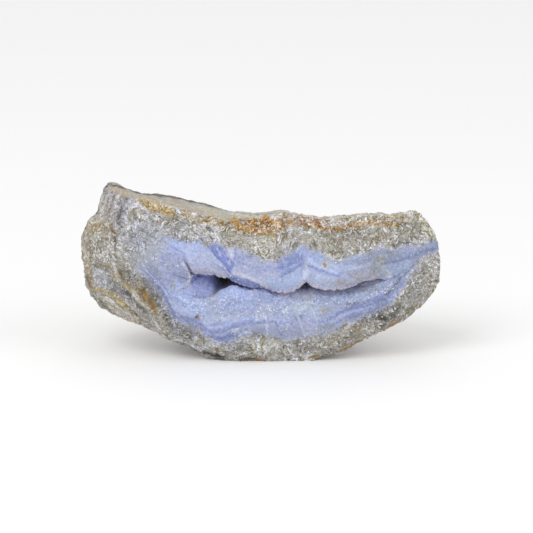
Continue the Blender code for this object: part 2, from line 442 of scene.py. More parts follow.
@dataclass(frozen=True)
class Fabric:
    """How the quartz is built, with lengths in mm, and how stains lie on it.

    Most crystals of the real stone are 0.1 to 0.3 mm thick, too fine for the mesh, so they
    are drawn thick enough to show.
    """

    # A clump of crystals that run one way, a crystal, how slim it is, and a round grain.
    clump: float = 5.0
    crystal: float = 0.8
    slim: float = 0.6
    coarse: float = 2.2
    # Wide clouds and clouds of the hue, each moved off the others.
    wide: float = 12.0
    wide_shift: float = 0.1
    warm: float = 4.0
    warm_shift: float = 0.3
    # Specks, with the levels that they fade in between.
    speck: float = 1.5
    speck_levels: Ramp = (-0.5, 0.25)
    # How full a stain lies in a seam, how fast it thins out beside it, what clouds add.
    seam_cover: float = 1.1
    seam_fall: float = 3.4
    seam_cloud: float = 0.5

    def patterns(self, grit: Grit, points: Array) -> Patterns:
        """Work the patterns out at the points of the skin.

        Args:
            grit: the noise that they come from.
            points: places on the smooth skin in metres.

        Returns:
            The patterns.
        """
        splinters = grit.splinters(points, self.clump * MM, self.crystal * MM, self.slim)
        cloud = grit.lumps(points, self.clump * MM, 3)
        specks = smooth_step(grit.lumps(points, self.speck * MM, 2), *self.speck_levels)
        seams = self.seam_cover - self.seam_fall * splinters.seam + self.seam_cloud * cloud
        spreads = {
            Spread.EVEN: np.ones(cloud.shape),
            Spread.SPECKS: specks,
            Spread.SEAMS: np.clip(seams, 0.0, 1.0),
        }
        return Patterns(
            splinters=splinters,
            coarse=grit.grains(points, self.coarse * MM),
            cloud=cloud,
            wide_cloud=grit.lumps(points + self.wide_shift, self.wide * MM, 2),
            warm_cloud=grit.lumps(points + self.warm_shift, self.warm * MM, 2),
            spreads=spreads,
        )


@dataclass
class Canvas:
    """The colours of the skin while they are laid on.

    Attributes:
        across: place of each point across the drawing, shaken by a step or two.
        down: the same, down the drawing.
        inward: depth behind the lips in mm, nought outside the hollow.
        drawn: one where the drawing shows the stone, fading out behind its outline.
        patterns: the grains and clouds that the colours follow.
        colour: red, green and blue of each point, linear.
    """

    across: Array
    down: Array
    inward: Array
    drawn: Array
    patterns: Patterns
    colour: Array

    def lay(self, colour: str, weight: Array) -> None:
        """Lay a colour over what is there.

        Args:
            colour: sRGB hex digits.
            weight: how far it covers each point, nought to one.
        """
        paint = np.array(linear(colour)[:3])
        self.colour += (paint - self.colour) * np.clip(weight, 0.0, 1.0)[..., None]

    def lay_marks(self, marks: "tuple[Mark, ...]", share: Array) -> Array:
        """Lay marks on in their order.

        Args:
            marks: patches and bands of colour.
            share: how far each point takes them.

        Returns:
            How far they cover each point, nought to one.
        """
        bare = np.ones(share.shape)
        for mark in marks:
            weight = mark.weight(self) * share * self.drawn
            self.lay(mark.colour, weight)
            bare *= 1.0 - np.clip(weight, 0.0, 1.0)
        return 1.0 - bare


@dataclass(frozen=True)
class Tinge:
    """A colour that comes in as a pattern rises from a low to a high level."""

    colour: str
    cover: float
    low: float
    high: float

    def lay(self, canvas: Canvas, share: Array | float, pattern: Array) -> None:
        """Lay the colour on a share of each point, by the pattern."""
        canvas.lay(self.colour, share * self.cover * smooth_step(pattern, self.low, self.high))


@dataclass(frozen=True)
class Area:
    """A part of the drawing inside a closed outline, fading over soft steps on each side."""

    outline: str
    soft: float = 2.0
    cover: float = 1.0

    def weight(self, canvas: Canvas) -> Array:
        """How strong it is at each point: full inside, fading over the soft width."""
        inside = depth_inside(canvas.across, canvas.down, trace(self.outline))
        return self.cover * smooth_step(inside, -self.soft, self.soft)


@dataclass(frozen=True)
class Patch:
    """An area of one colour, which lies on the grains in one of three ways."""

    outline: str
    colour: str
    soft: float = 2.0
    cover: float = 1.0
    spread: Spread = Spread.EVEN

    def weight(self, canvas: Canvas) -> Array:
        """How far it covers each point, as far as it stays on the grains."""
        area = Area(self.outline, self.soft, self.cover)
        return area.weight(canvas) * canvas.patterns.spreads[self.spread]


@dataclass(frozen=True)
class Band:
    """A line of one colour: a growth band, a crack, a crust along a lip, or a spot.

    A spot has one corner. The width is half the real one, in steps.
    """

    path: str
    colour: str
    width: float = 1.5
    cover: float = 1.0
    spread: Spread = Spread.EVEN

    def weight(self, canvas: Canvas) -> Array:
        """How far it covers each point: a bell across the line.

        Args:
            canvas: the colours that it is laid on.

        Returns:
            A weight of nought to one.
        """
        path = trace(self.path)
        path = path if len(path) > 1 else path * 2
        distance, _ = path_distance(canvas.across, canvas.down, path)
        cover = self.cover * np.exp(-(distance / self.width) ** 2)
        return cover * canvas.patterns.spreads[self.spread]


Mark = Patch | Band


class Stretch(Enum):
    """The stretches of skin from the hollow to the back, in the order of their rings."""

    HOLLOW = "hollow"
    FACE = "face"
    EDGE = "edge"
    BACK = "back"


class Ground(Enum):
    """What the stone is made of at a place, which decides how it broke."""

    CHALCEDONY = "chalcedony"
    LINING = "lining"
    LIP = "lip"
    QUARTZ = "quartz"
    CAP = "cap"
    END = "end"
    CRUST = "crust"


@dataclass(frozen=True)
class Fracture:
    """How far lumps and flat crystal faces lift a broken ground: sizes and lifts in mm."""

    lump_size: float
    lump_lift: float
    grain_size: float
    grain_lift: float
    slim: float = 0.0

    def lift(self, grit: Grit, points: Array) -> Array:
        """Lift the skin by lumps, with grains on them.

        Args:
            grit: the noise that they come from.
            points: places on the smooth skin in metres.

        Returns:
            Heights in metres above the smooth skin.
        """
        lumps = grit.lumps(points, self.lump_size * MM) * self.lump_lift
        grains = grit.splinters(points, self.lump_size * MM, self.grain_size * MM, self.slim)
        return (lumps + grains.height * self.grain_lift) * MM


@dataclass
class Skin:
    """Points of the skin by ring and by place around it, and where each one belongs.

    Attributes:
        points: places in metres, rings first, then places around, then x, y and z.
        across: place of each point across the drawing.
        down: place of each point down the drawing.
        stretches: for each stretch, one at its points and nought elsewhere.
        inward: depth behind the lips in mm, nought outside the hollow.
        behind: depth behind the outline in mm, nought in front of it.
    """

    points: Array
    across: Array
    down: Array
    stretches: dict[Stretch, Array]
    inward: Array
    behind: Array

    def flat(self) -> Array:
        """Places in the drawing, with a nought after them, for the noise."""
        return np.stack([self.across, self.down, np.zeros(self.across.shape)], axis=-1)

    def normals(self) -> Array:
        """Cross the steps to the next points along the rings and from ring to ring.

        Returns:
            Unit directions that point out of the stone.
        """
        around = np.roll(self.points, -1, axis=1) - np.roll(self.points, 1, axis=1)
        outward = np.gradient(self.points, axis=0)
        crossed = np.cross(around, outward)
        length = np.maximum(np.linalg.norm(crossed, axis=-1, keepdims=True), 1e-12)
        return crossed / length


OUTLINE: Runs = (
    trace("80,247,17 80,235,18 87,221,18 96,211,18 99,200,18 103,188,19 107.5,182,20 114,182.5,20 "
          "124,187,20 141,193,19 163,194,19 183,198,18 206,203.5,16 229,212,12"),
    trace("253,215,7 270,213.5,5 284,212,4 300,218,4 320,219,4 340,218.5,4 355,215.5,5 382,215.5,5 "
          "393,217.5,5 412,212,7 420,213.5,8 428,222,9 434,230,10 438,242,10"),
    trace("440,257,10 441,267,10 440,280,10 434.5,291,9 427,301.5,9 418,310.5,8 403,321.5,8 "
          "385,331.5,7 369,337,7 360,343.5,7 340,353,6 317,359,5 296,362,5"),
    trace("262,364,5 241,364.5,5 223,360,5 206,356.5,6 186,346,7 172,342,7 157,334,8 137,325,10 "
          "111,314,12 97,306,14 90,297,15 85.5,287,16 83,275,16 82,261,17"),
)
RIM: Runs = (
    trace("117,250 118,234 120,220 122,208 128,197 136,199 148,202 166,206 184,211 206,216 222,220 "
          "238,222"),
    trace("255,221 275,219.5 300,222 320,224 340,223.5 355,220.5 382,220.5 400,221 415,219.5 "
          "424,228 430,242"),
    trace("432,257 432,268 429,281 422,293 412,303 399,314 384,323 369,329 354,337 335,345 316,351 "
          "295,355"),
    trace("262,356 241,356 223,352 206,347 190,339 172,331 155,318 144,305 136,296 128,286 120,276 "
          "117,264"),
)
MOUTH: Runs = (
    trace("190,280 191,273 198,274 206,275 213,274 219,277 228,278 234,282 241,286 252,287"),
    trace("262,287 275,293 285,294 295,291 301,286 306,282 311,286 319,289 330,291 345,289 359,284 "
          "376,279"),
    trace("388,279 383,285 368,293 352,299 335,303 318,305 300,306 284,306"),
    trace("268,301 256,295 246,290 237,286.5 230,286 222,289.5 215,295 205,298 196,296 190,289"),
)
HOLLOW_LINE: Runs = (
    trace("194,274,2 204,273,3.2 211,273,5 216,272,7.5 221,272,12 228,274,13 235,279,8 243,283,2.8 "
          "252,284.5,1.4"),
    trace("262,284,1.4 276,289.5,1.5 288,290.5,2 299,286,4.2 306,280,7 312,284,5.5 325,287,4.5 "
          "345,285.5,4 362,280,3.2 376,276,2"),
)
HOLLOW_LINE_END: Point = (384, 276, 1.5)
LENS: Path = trace(
    "140,269.5 145,262 150,256 161,240 171,237 182,241 191,242 200,242 207,246 218,243 224,248 "
    "232,247 244,250 251,256 263,261 278,261.5 280,259 290,253 299,246.5 307,246.5 312,251 321,253 "
    "327,259 336,262.5 343,260 352,256 365,255 376,249 385,247.5 392,251 400,250 409,246.5 "
    "422,246.5 430,243.5 443,238 443,249 430,253 420,259 417,265 413,272 406,283 398,293 392,303 "
    "382,309 369,315 354,320 346,323 336,329 327,334 316,334.5 306,338 298,338.5 283,340 279,337 "
    "267,335 253,333 242,337 230,342 223,344 214,341 205,336 197,329 181,324 172,318 166,304 "
    "161,293 152,283 145,276")
CAP_OUTLINE: Path = trace(
    "100,176 124,182 170,190 210,198 240,206 286,205 286,213 256,219 238,221 222,219 206,215 "
    "184,210 166,205 148,201 136,198 124,196 112,190")
END_OUTLINE: Path = trace(
    "70,170 104,184 112,189 124,196 133,196 131,206 128,217 121,230 117,240 116,252 119,273 "
    "127,284 142,303 152,313 165,345 70,345")

CHALCEDONY_MARKS: tuple[Mark, ...] = (
    Patch("140,262 150,246 162,236 172,240 160,262 150,280", "#a9afc0", 6, 0.7),
    Patch("144,263 160,264 164,282 172,306 162,300 150,282", "#7c8199", 3.5, 0.75),
    Patch("160,256 172,250 184,256 188,266 190,277 186,287 172,290 163,280", "#939bbe", 3),
    Patch("168,240 190,243 203,244 208,250 200,258 188,262 172,250", "#a6b2dd", 3, 0.9),
    Patch("190,262 200,250 214,258 226,269 226,276 206,275 192,272", "#a9b1d2", 4, 0.8),
    Patch("192,268 208,268 226,273 228,278 213,275 192,274", "#b9b6cf", 2, 0.8),
    Patch("208,247 217.5,243.5 223,249 230,258.5 234.5,264 233.5,269 230,273 226.5,272 227,267.5 "
          "219,261 214,255", "#7c89c6", 1),
    Band("217,249 220,255 218,251", "#c4c6dc", 1, 0.8),
    Band("227,262 230,264 229,261", "#c4c6dc", 1, 0.8),
    Patch("223,247 233,247 234,253 232,261 227,254", "#bfc1d8", 1.2, 0.9),
    Patch("235,249 244,251 241,257 238,261", "#a5abcc", 1.6, 0.9),
    Band("234.5,247 236,255 234,261", "#8690c4", 0.9, 0.8),
    Band("244,251 241,260", "#8f9aca", 0.9, 0.7),
    Patch("236,262 244,255 256,260 278,263 277,277 262,278 240,274", "#a1a8ca", 2.5),
    Patch("236,255 250,256 250,266 238,266", "#8f98c0", 3, 0.7),
    Band("240,268 256,267.5 276,267", "#969ecb", 1.8, 0.8),
    Band("258,271 268,271 278,272", "#8f9ac9", 1, 0.8),
    Band("262,275 278,274", "#b9bad4", 1.2, 0.7),
    Band("245,262 262,264 277,265", "#b5b5cf", 1.5, 0.6),
    Band("235,272.5 243,275 250,278 256,281 264,284.5", "#c8c8de", 2.2, 0.9),
    Band("233,269 238,268", "#c6c8dc", 1.4, 0.5),
    Band("244,267 247,269", "#cfcfe0", 1.2, 0.8),
    Band("240,288 250,291 262,293 276,296 288,295.5", "#a5add6", 2.4, 0.8),
    # Painted shade on the hollow's floor below the hole.
    Band("225,288 231,285.5 238,286.5 246,288.5", "#646a86", 2.4, 0.85),
    Patch("278,260 292,254 304,249 306,262 296,270 281,278", "#7e8bbb", 2.5, 0.95),
    Band("279,268 290,264 300,259 306,252", "#6f7db2", 1.4, 0.8),
    Band("280,272 292,267 302,261", "#a0acd6", 1, 0.7),
    Band("282,276 294,270 303,264", "#7582b8", 1.3, 0.8),
    Band("279,262 292,256 300,249", "#8794c0", 1.8, 0.6),
    Patch("300,247 310,247 312,255 306,262 300,254", "#a0aad3", 2, 0.8),
    Patch("268,279 284,278 300,268 304,280 296,288 284,291 272,289", "#a5b2d8", 2.5),
    Band("262,287 275,292.5 286,293.5 296,290 303,284.5", "#c6c0d8", 2.2, 0.9),
    Patch("305.5,260 303,270 301,282 310,282 308,270", "#c4cae4", 1.2),
    Patch("309,249 320,252 328,260 322,263 312,258", "#98a8d2", 2),
    Band("309,260 317,266 327,269.5 337,273.5", "#b7c4ea", 2.2, 0.9),
    Band("312,266 318,270.5 327,273 337,276 346,272 359,269 368,265", "#8592cb", 1.3, 0.9),
    Patch("311,272 322,275 336,279 334,288 320,288 311,282", "#a9b4d2", 3),
    Patch("344,260 366,257 380,258 372,270 350,277 340,272", "#9298b0", 3, 0.85),
    Band("346,266 360,263 374,258", "#838dba", 1.4, 0.8),
    Band("346,270 360,267 372,263", "#b3bad4", 1.2, 0.7),
    Band("326,264 340,268 352,266", "#a9bbdf", 2.5, 0.7),
    Patch("334,280 350,276 372,270 381,268 380,276 360,282 346,289 336,290",
          "#a09b9a", 2.6, 0.9, Spread.SPECKS),
    Band("340,287 350,284.5 362,280.5", "#878078", 1.8, 0.75, Spread.SPECKS),
    # Painted shade under the upper lip, in specks.
    Patch("300,290 306,286 318,291 332,294 348,291 356,287 352,294 334,298 316,297 302,294",
          "#83849c", 2.5, 0.7, Spread.SPECKS),
    Band("311,285 320,288.5 331,290.5 342,289", "#d8d5e4", 2.2, 0.9),
    Patch("382,270 392,272 394,279 386,277", "#c9c8dc", 1.4, 0.9),
    Patch("376,258 384,257.5 386,262 382,266 376,263", "#8e8c66", 1.4, 0.95, Spread.SPECKS),
    Patch("370,269 378,267 381,272 372,276", "#97958c", 1.4, 0.7),
    Patch("386,250 400,252 420,248 438,241 440,247 420,252 398,259 386,261", "#8c98b8", 2),
    Patch("366,252 398,246 400,254 390,262 384,272 370,272", "#82868e", 7, 0.65),
    Patch("370,268 388,268 388,280 372,283", "#84879a", 4, 0.5),
    Band("430,250 442,246", "#7f868f", 3, 0.9),
    Patch("408,257 428,252 424,263 412,268", "#838aa2", 3, 0.7),
    Band("386,262.5 398,260.5 409,256.5 420,253 441,245", "#7581aa", 1.8, 0.95),
    Patch("386,266 400,262 414,262 410,272 398,280 392,276", "#909dbc", 2),
    Patch("346,303 372,297 392,289 404,277 408,283 392,304 366,315 344,322", "#727c9a", 3, 0.85),
    Patch("402,282 411,271 409,280 397,296 388,304 390,296", "#97a2d0", 2, 0.9),
    Band("414,265 405,275.5 396,283 394,288 388,294", "#6e7480", 0.9, 0.9),
    Band("397,282 394,288", "#8a8266", 0.8, 0.8),
    Patch("356,290 374,284 392,281 392,288 378,296 356,300", "#a1adcf", 2.5),
    Patch("356,284 376,282 378,290 358,293", "#8c8f9c", 3, 0.7),
    Band("369,292 370,299", "#8d97b8", 1, 0.7),
    Patch("176,280 190,287 194,296 206,301 206,314 186,314 176,300", "#a9b8e2", 4),
    # Painted shade in the bowl.
    Patch("192,275 215,275 217,290 211,295 197,292 191,284", "#7e86b4", 2.5),
    Patch("218,290 232,286 250,292 256,302 236,312 218,306", "#a8b7e4", 4, 0.9),
    Patch("256,290 278,299 304,299 304,303 276,305 256,300", "#97a5d4", 2.5, 0.8),
    Patch("262,304 276,304 274,314 262,315", "#b6bccb", 4.5, 0.6, Spread.SPECKS),
    Patch("290,301 312,299 313,310 294,312", "#b9c3d2", 4, 0.7),
    Patch("292,315 304,314 306,322 294,323", "#7d84a8", 3, 0.85),
    Patch("322,306 344,304 342,318 324,320", "#8f97b0", 4, 0.6),
    # Painted light under the upper lip, against its shade.
    Patch("293,289 306,285 322,291 318,297 296,298", "#c6c9dc", 2.5, 0.9),
    Patch("318,307.5 326,307 330,310 322,313 317,311", "#9c9884", 1.6, 0.75, Spread.SPECKS),
    Patch("316,294 346,292 346,300 330,305 314,304", "#a5b3da", 3, 0.7),
    Patch("206,328 214,322 238,320 262,316 270,318 264,325 240,327 226,334 212,335",
          "#949fd0", 2.2, 0.9),
    Patch("170,312 186,316 200,322 206,333 196,329 180,323", "#9197be", 2.2, 0.9),
    Band("142,269 152,279 160,288 167,299 172,309 176,314 186,317 198,322", "#6f7baf", 1.2, 0.75),
    Band("146,270 156,280 164,290 170,300 174,309", "#b0bade", 1, 0.7),
    Band("145,275 155,286 163,297 168,310 174,317", "#7782b8", 1.4, 0.65),
    Band("150,272 159,280 167,290 172,301", "#7f8bc0", 1, 0.8),
    Band("168,302 171,309 175,316", "#565c70", 0.9, 0.7),
    Band("172,291 178,300 186,306", "#8fa0d2", 1.2, 0.6),
    Band("198,321 206,329.5 212,332.5 221,331.5 229,328.5 240,323.5 250,322 266,321.5 284,323 "
         "300,323.5 318,322 328,320", "#858fbe", 2, 0.75),
    Band("328,320 339,312.5 352,309.5 365,305 376,300.5 388,297", "#7b85bc", 1.8, 0.9),
    Band("330,325 342,320 357,313 370,309.5 380,305", "#838dc0", 1.2, 0.8),
    Band("330,322 341,316 354,311.5 372,306", "#a9b3dc", 1.4, 0.7),
    Patch("210,335 232,332 238,338 222,344", "#7b84ae", 2, 0.95),
    Band("216,335 224,334 232,330 244,327 262,325.5 282,326.5", "#a9b3d6", 1.7, 0.75),
    Band("205,326 212,328 222,326 234,320.5 248,318.5", "#b4c0e4", 1.5, 0.6),
    Band("208,336 216,338.5 226,338 234,334", "#6d77a8", 1.3, 0.8),
    Patch("250,326 284,327 320,326 318,334 300,338 282,339 252,333", "#979db6", 2.5, 0.9),
    Patch("190,325 198,329 203,337 204,346 196,342 190,334", "#a3a4bb", 1.8, 0.9),
    Patch("254,317 262,315.5 268,317 266,320 256,320.5", "#ced3e2", 1.5, 0.8, Spread.SPECKS),
    Band("222,310 230,304 240,302 251,301", "#8d9acd", 1.2, 0.6),
    Band("226,316 240,309 256,309", "#9aa6d4", 1.4, 0.5),
    Patch("298,319 315,322 317,334 306,337", "#a9adcc", 1, 0.6),
    Patch("268,322 276,322 282,337 269,335", "#9ea6c8", 1, 0.6),
    Band("297.5,316 306,337", "#c3c8de", 0.9, 0.65),
    Band("312,307 317,322 317,334", "#c3c8de", 0.9, 0.65),
    Band("275.5,321.5 279,331 283,338", "#7f87ac", 1, 0.8),
    Band("266,319 268,334", "#cfd3e4", 0.9, 0.7),
    Band("233,330 238,329 236,333", "#dddfe9", 1.3, 0.85, Spread.SPECKS),
    Band("242,329 246,332 251,333", "#d8dbe8", 1.3, 0.85, Spread.SPECKS),
    Band("288,325 286,329", "#d3d7e6", 0.9, 0.8),
    Band("186,264 189,269 192.5,273.5", "#55546e", 1.1, 0.9),
    Band("184,263 188.5,271 190.5,277 189.5,282 186,287 182,289", "#cdc9dd", 1.7, 0.9),
    Band("189,246 190,262", "#c3c9e3", 2.2, 0.7, Spread.SPECKS),
    Band("168,247 177,249 185,254", "#8390cb", 1.2, 0.8),
    Band("324.5,263 325,267", "#c2b48a", 2.8, 0.7),
    Band("324,264 325,266", "#7c4a10", 1.3, 1),
    Band("197.3,315.4 196.8,317.2", "#744c00", 1.2, 1),
    Band("196,317.5", "#3a2206", 0.8, 0.9),
    Band("209,299", "#9c8468", 1, 0.9),
    Band("231,313 235,315", "#958c84", 1.1, 0.8),
    Band("199,319", "#b09468", 1.3, 0.8),
    Band("196.5,326", "#6c4c20", 1.1, 0.9),
    Band("155.7,256.2", "#55524c", 1.1, 0.9),
    Band("168,264.5", "#6c6650", 1.1, 0.9),
    Band("168,265", "#9c9a84", 2.4, 0.4),
    Band("171.6,284 175,285.7", "#98987e", 1.1, 0.8),
    Band("240.5,310", "#8c7c70", 1, 0.9),
    Band("249.4,315.4", "#7c6a60", 0.9, 0.9),
    Band("218.7,319.4 219.5,321", "#9a8e80", 1.2, 0.8),
    Band("216,302", "#a8947c", 1.1, 0.8),
    Band("200.5,279.5", "#6c5c64", 1, 0.9),
    # Painted shade on the bowl's lower part.
    Patch("193,286 207,290 205,298 193,297", "#7f8abd", 2.5, 0.8),
    Band("213,294.5 218,290.5", "#857f80", 2.2, 0.9),
    Patch("318,325 336,322 334,334 320,336", "#888d9a", 3, 0.7),
    Band("202.5,287.5", "#dfe3f2", 1.1, 0.9),
    Band("203,297", "#dfe3f2", 1.1, 0.8),
)
# Painted shade on the recessed wall under the outer lip.
PAINTED_SHADE_WALL = Patch("228,275 234,277 241,278 250,280.5 256,284 266,287.5 278,292 278,296 262,292 "
                  "250,290 240,288 231,284", "#7b85b9", 1)
DRUSE_AREAS: tuple[Area, ...] = (
    Area("220,293 240,294 240,315 222,316", 4, 0.8),
    Area("300,297 340,294 338,307 304,309", 4, 0.9),
    Area("372,286 400,280 398,291 378,296", 4, 0.9),
    Area("232,328 252,327 252,337 234,339", 3, 1),
    Area("194,294 212,298 210,312 190,308", 4, 0.7),
    Area("168,262 184,264 182,282 166,280", 4, 0.4),
    Area("258,304 290,303 290,316 258,316", 4, 0.6),
    Area("166,292 196,298 250,296 300,300 390,284 396,290 340,310 300,318 250,320 200,318 172,304",
         5.0, 0.5),
)
HOLLOW_MARKS: tuple[Mark, ...] = (
    # Painted light on the bowl's wall behind the lip, against its shade.
    Patch("188,270 214,270 216,290 205,298 190,290", "#949cd0", 2, 0.85),
    # Painted shade: the dark notch under the arch.
    Patch("301,289 306,280 312,289", "#34323e", 2, 0.9),
)
BLUE_HAZE = Patch("124,228 146,222 168,228 160,250 150,276 136,276 124,256", "#a9aebb", 9, 0.8)
DARK_CLEFT = Patch("118,266 129,268 137,281 132,289 121,282", "#6f685c", 3.5, 0.9)
QUARTZ_MARKS: tuple[Mark, ...] = (
    Patch("140,208 172,216 206,226 206,234 190,234 150,224", "#9e9e9d", 4, 0.55),
    Patch("330,226 372,226 372,242 334,244", "#a09a8b", 5, 0.6),
    Patch("392,218 424,220 430,236 410,246 392,240", "#a7a79a", 5, 0.5),
    Patch("360,314 396,300 420,284 424,300 396,318 362,334", "#a0a093", 4, 0.6),
    Patch("372,312 388,304 402,302 404,309 390,318 376,324", "#4f4c40", 2.5, 0.9, Spread.SPECKS),
    Band("380,318 390,321 398,316", "#26221a", 1.8, 0.9, Spread.SPECKS),
    # Painted shade along the lower edges, broken into specks.
    Band("90,297 97,306 111,314.5 137,326 157,335 172,343 186,348 206,357",
         "#5c584c", 2.4, 0.6, Spread.SPECKS),
    Band("385,332 403,322 418,311 427,302 435,291", "#5c584c", 2.2, 0.55, Spread.SPECKS),
    Patch("282,340 302,340 302,352 284,352", "#a6a49a", 4, 0.5),
    Patch("326,324 348,322 348,336 328,338", "#9f9e92", 4, 0.5),
    Patch("236,228 262,232 276,240 272,256 252,252 238,244", "#d4d1c6", 5, 0.8),
    Patch("246,226 276,232 270,240 250,238", "#b6ae98", 4, 0.4),
    Patch("190,222 206,224 206,238 190,240", "#c8c9c7", 4, 0.5),
    Patch("300,226 330,228 330,248 312,250 302,242", "#c1c0b5", 5, 0.5),
    Patch("220,342 262,338 276,342 272,356 230,356", "#d2d2cc", 4, 0.6),
    Patch("118,264 132,262 148,284 166,312 160,326 140,300", "#9e9684", 5, 0.6),
    Patch("128,224 146,224 146,238 130,238", "#b4bacb", 4, 0.5),
    Patch("414,213 424,214 431,224 438,240 430,240 420,228", "#d3cfa8", 2, 0.85),
    Patch("406,262 420,258 430,262 424,280 408,286", "#a4a4a0", 4, 0.6),
    Patch("200,224 214,219 226,222 222,240 206,244", "#e3e2e4", 4, 0.95),
    Patch("250,235 272,234 276,248 262,254 250,250", "#e2e1de", 4, 0.8),
    Patch("274,229 288,230 289,241 276,243", "#9c907c", 3, 0.9),
    Patch("324,344 346,334 356,321 365,327 356,342 336,355", "#a09889", 3.5, 0.9),
    Patch("398,239 412,239 408,249 392,252", "#777876", 3.5, 0.9),
    Patch("396,292 408,281 428,280 432,292 418,301 400,303", "#9d9c98", 4, 0.8),
    Patch("404,308 422,301 424,311 410,321", "#96948b", 3, 0.8),
    Patch("220,341 242,340 248,350 226,355", "#7f7e80", 3.5, 0.95),
    Patch("166,320 190,326 202,337 186,340 170,332", "#7f7f88", 3, 0.95),
    Patch("142,278 155,280 168,300 178,318 168,318 150,300", "#707078", 3, 0.95),
    Patch("184,234 200,236 198,245 184,243", "#a0a6b8", 3, 0.7),
    Band("208,227 210,231", "#5c5f62", 1.2, 0.8),
    Band("286,238 292,236", "#9d9475", 2.2, 0.6),
    DARK_CLEFT,
    Patch("320,349 336,348 336,358 320,359", "#7f7a6c", 3, 0.7),
    Patch("428,240 442,238 443,252 430,254", "#858a94", 2, 0.95),
    Patch("266,346 282,347 280,357 266,357", "#a3a19b", 3, 0.7),
    Patch("406,221 422,222 420,232 408,232", "#89857a", 3, 0.7),
    # The pale skin of the top edge on the right, lightened further as painted light where it faces
    # up.
    Patch("318,212 420,208 428,216 424,221 400,222 382,221.5 355,221.5 340,225 318,223",
          "#ece7df", 1.6, 1),
    Patch("256,338 286,340 284,350 258,350", "#e2e2e0", 3, 0.8),
    Patch("304,239 320,239 320,250 306,250", "#d3d3d2", 3, 0.7),
    Patch("200,235 216,235 214,244 200,244", "#d2d6e6", 3, 0.7),
    Patch("236,233 248,233 248,243 238,243", "#a1988a", 3, 0.6),
    Patch("273,245 286,245 284,256 272,256", "#cfcfd1", 3, 0.7),
    Patch("298,344 316,343 315,353 298,354", "#86837c", 3, 0.8),
    Patch("358,313 376,308 378,319 360,323", "#6d6e76", 3, 0.9),
    Patch("170,229 184,229 184,238 171,238", "#c4cadc", 3, 0.7),
    Patch("312,350 322,350 321,358 312,358", "#b7b4ab", 2.5, 0.6),
    Patch("380,309 398,306 396,320 380,328", "#65625a", 3, 0.6),
    Patch("426,282 436,280 436,291 428,297", "#c4c1b6", 3, 0.7),
)
IRON_MARKS: tuple[Mark, ...] = (
    Patch("134,196 150,199 172,206 178,214 168,215 150,209 137,202", "#d2c5a6", 2, 0.85),
    Patch("138,199 150,200 170,206 172,214 152,212 140,204", "#c9a654", 2.5, 0.62, Spread.SPECKS),
    Band("150,207 168,213 186,216 206,221 222,223.5 238,229", "#c4a45c", 2.8, 0.7, Spread.SPECKS),
    Patch("184,210 206,215 228,219 228,226 206,223 184,217", "#ccb070", 2, 0.8, Spread.SPECKS),
    Band("190,213.5 199,215", "#ded9de", 1.3, 0.8),
    Patch("228,219 248,219.5 262,218.5 284,219 282,229 268,235 248,232 236,226",
          "#cd9f50", 2.2, 0.9),
    Band("232,219 236,218", "#c39a28", 1.6, 0.9),
    Patch("238,218.5 247,218.5 248,225 242,226", "#85591a", 1.4, 0.95),
    Band("242,222 246,224.5", "#dcd4e0", 1.1, 0.9),
    Band("247,219 251,221.5", "#cba32a", 1.4, 0.9),
    Patch("253,219 268,217 272,228 262,233 253,228", "#b0781c", 2, 0.95, Spread.SPECKS),
    # Painted glint: a white streak on the stain.
    Band("257,218.5 264,218", "#e0dadf", 1.1, 0.9),
    Band("265,216.5 268,221", "#bd8420", 2, 0.9),
    Band("258,225 266,222", "#7d4e16", 1.4, 0.85),
    Band("234,228 246,231 262,232", "#d09a4a", 2, 0.6, Spread.SPECKS),
    Band("265,229 272,230 278,226", "#e0d4c8", 2.2, 0.6),
    Band("271,235.5 274,236.5", "#d2b43e", 1.3, 0.9),
    Band("312,223 318,226.5", "#cfae46", 1.3, 0.9),
    Band("290,223 300,222", "#ba7c3a", 1.6, 0.8, Spread.SPECKS),
    Band("305,215.5 313,219", "#c08e60", 2, 0.8, Spread.SPECKS),
    Patch("280,214 314,216 322,222 316,229 296,226 282,226", "#c9a56e", 2.5, 0.75, Spread.SPECKS),
    Band("296,219 312,218 320,222", "#b08454", 2, 0.75, Spread.SPECKS),
    Band("316,226 326,229 338,229.5 347,225.5 356,224 368,223 380,224 391,224.5 397,224.5",
         "#bf964e", 1.9, 0.95),
    Band("322,220.5 334,221 350,217.5", "#b08a60", 1.6, 0.5, Spread.SPECKS),
    Band("384,226 396,226 404,223", "#b99a50", 1.5, 0.8, Spread.SPECKS),
    Band("372,219 384,216.5 398,217 412,216", "#cdb078", 1.8, 0.7, Spread.SPECKS),
    Band("284,211.5 297,214", "#bb8c60", 1.8, 0.7, Spread.SPECKS),
    Band("298,216 308,215.5 318,219", "#b5804c", 3, 0.8),
    Patch("298,213 314,214 322,220 316,226 300,222", "#b97844", 2, 0.9, Spread.SPECKS),
    Band("299,216 309,216.5 318,221", "#b87430", 2.2, 0.9, Spread.SPECKS),
    Band("318,227.5 330,229 345,228", "#b8803c", 1.6, 0.8, Spread.SPECKS),
    Band("379,222.5 384,219 388,216", "#b08a58", 1.8, 0.8, Spread.SPECKS),
    Band("126,284 131,289 136,292", "#b0985c", 2, 0.8),
    Band("438,270 437,280 435,288", "#4c3d26", 1.6, 0.75, Spread.SPECKS),
    Band("204,220 212,222 220,223.5 226,227", "#a07c3c", 1.5, 0.6, Spread.SPECKS),
    Band("238,233 250,235 262,235 276,232", "#ad8f55", 1.8, 0.5, Spread.SPECKS),
    Band("284,222 296,224 308,227", "#b08858", 3, 0.5, Spread.SPECKS),
    Band("338,228 352,229 366,227", "#a38a5c", 2.4, 0.6, Spread.SPECKS),
    Band("370,334 384,326 398,318", "#55524b", 2.2, 0.6, Spread.SPECKS),
    Band("404,316 426,300 436,286", "#a08a5c", 1.4, 0.6, Spread.SPECKS),
)
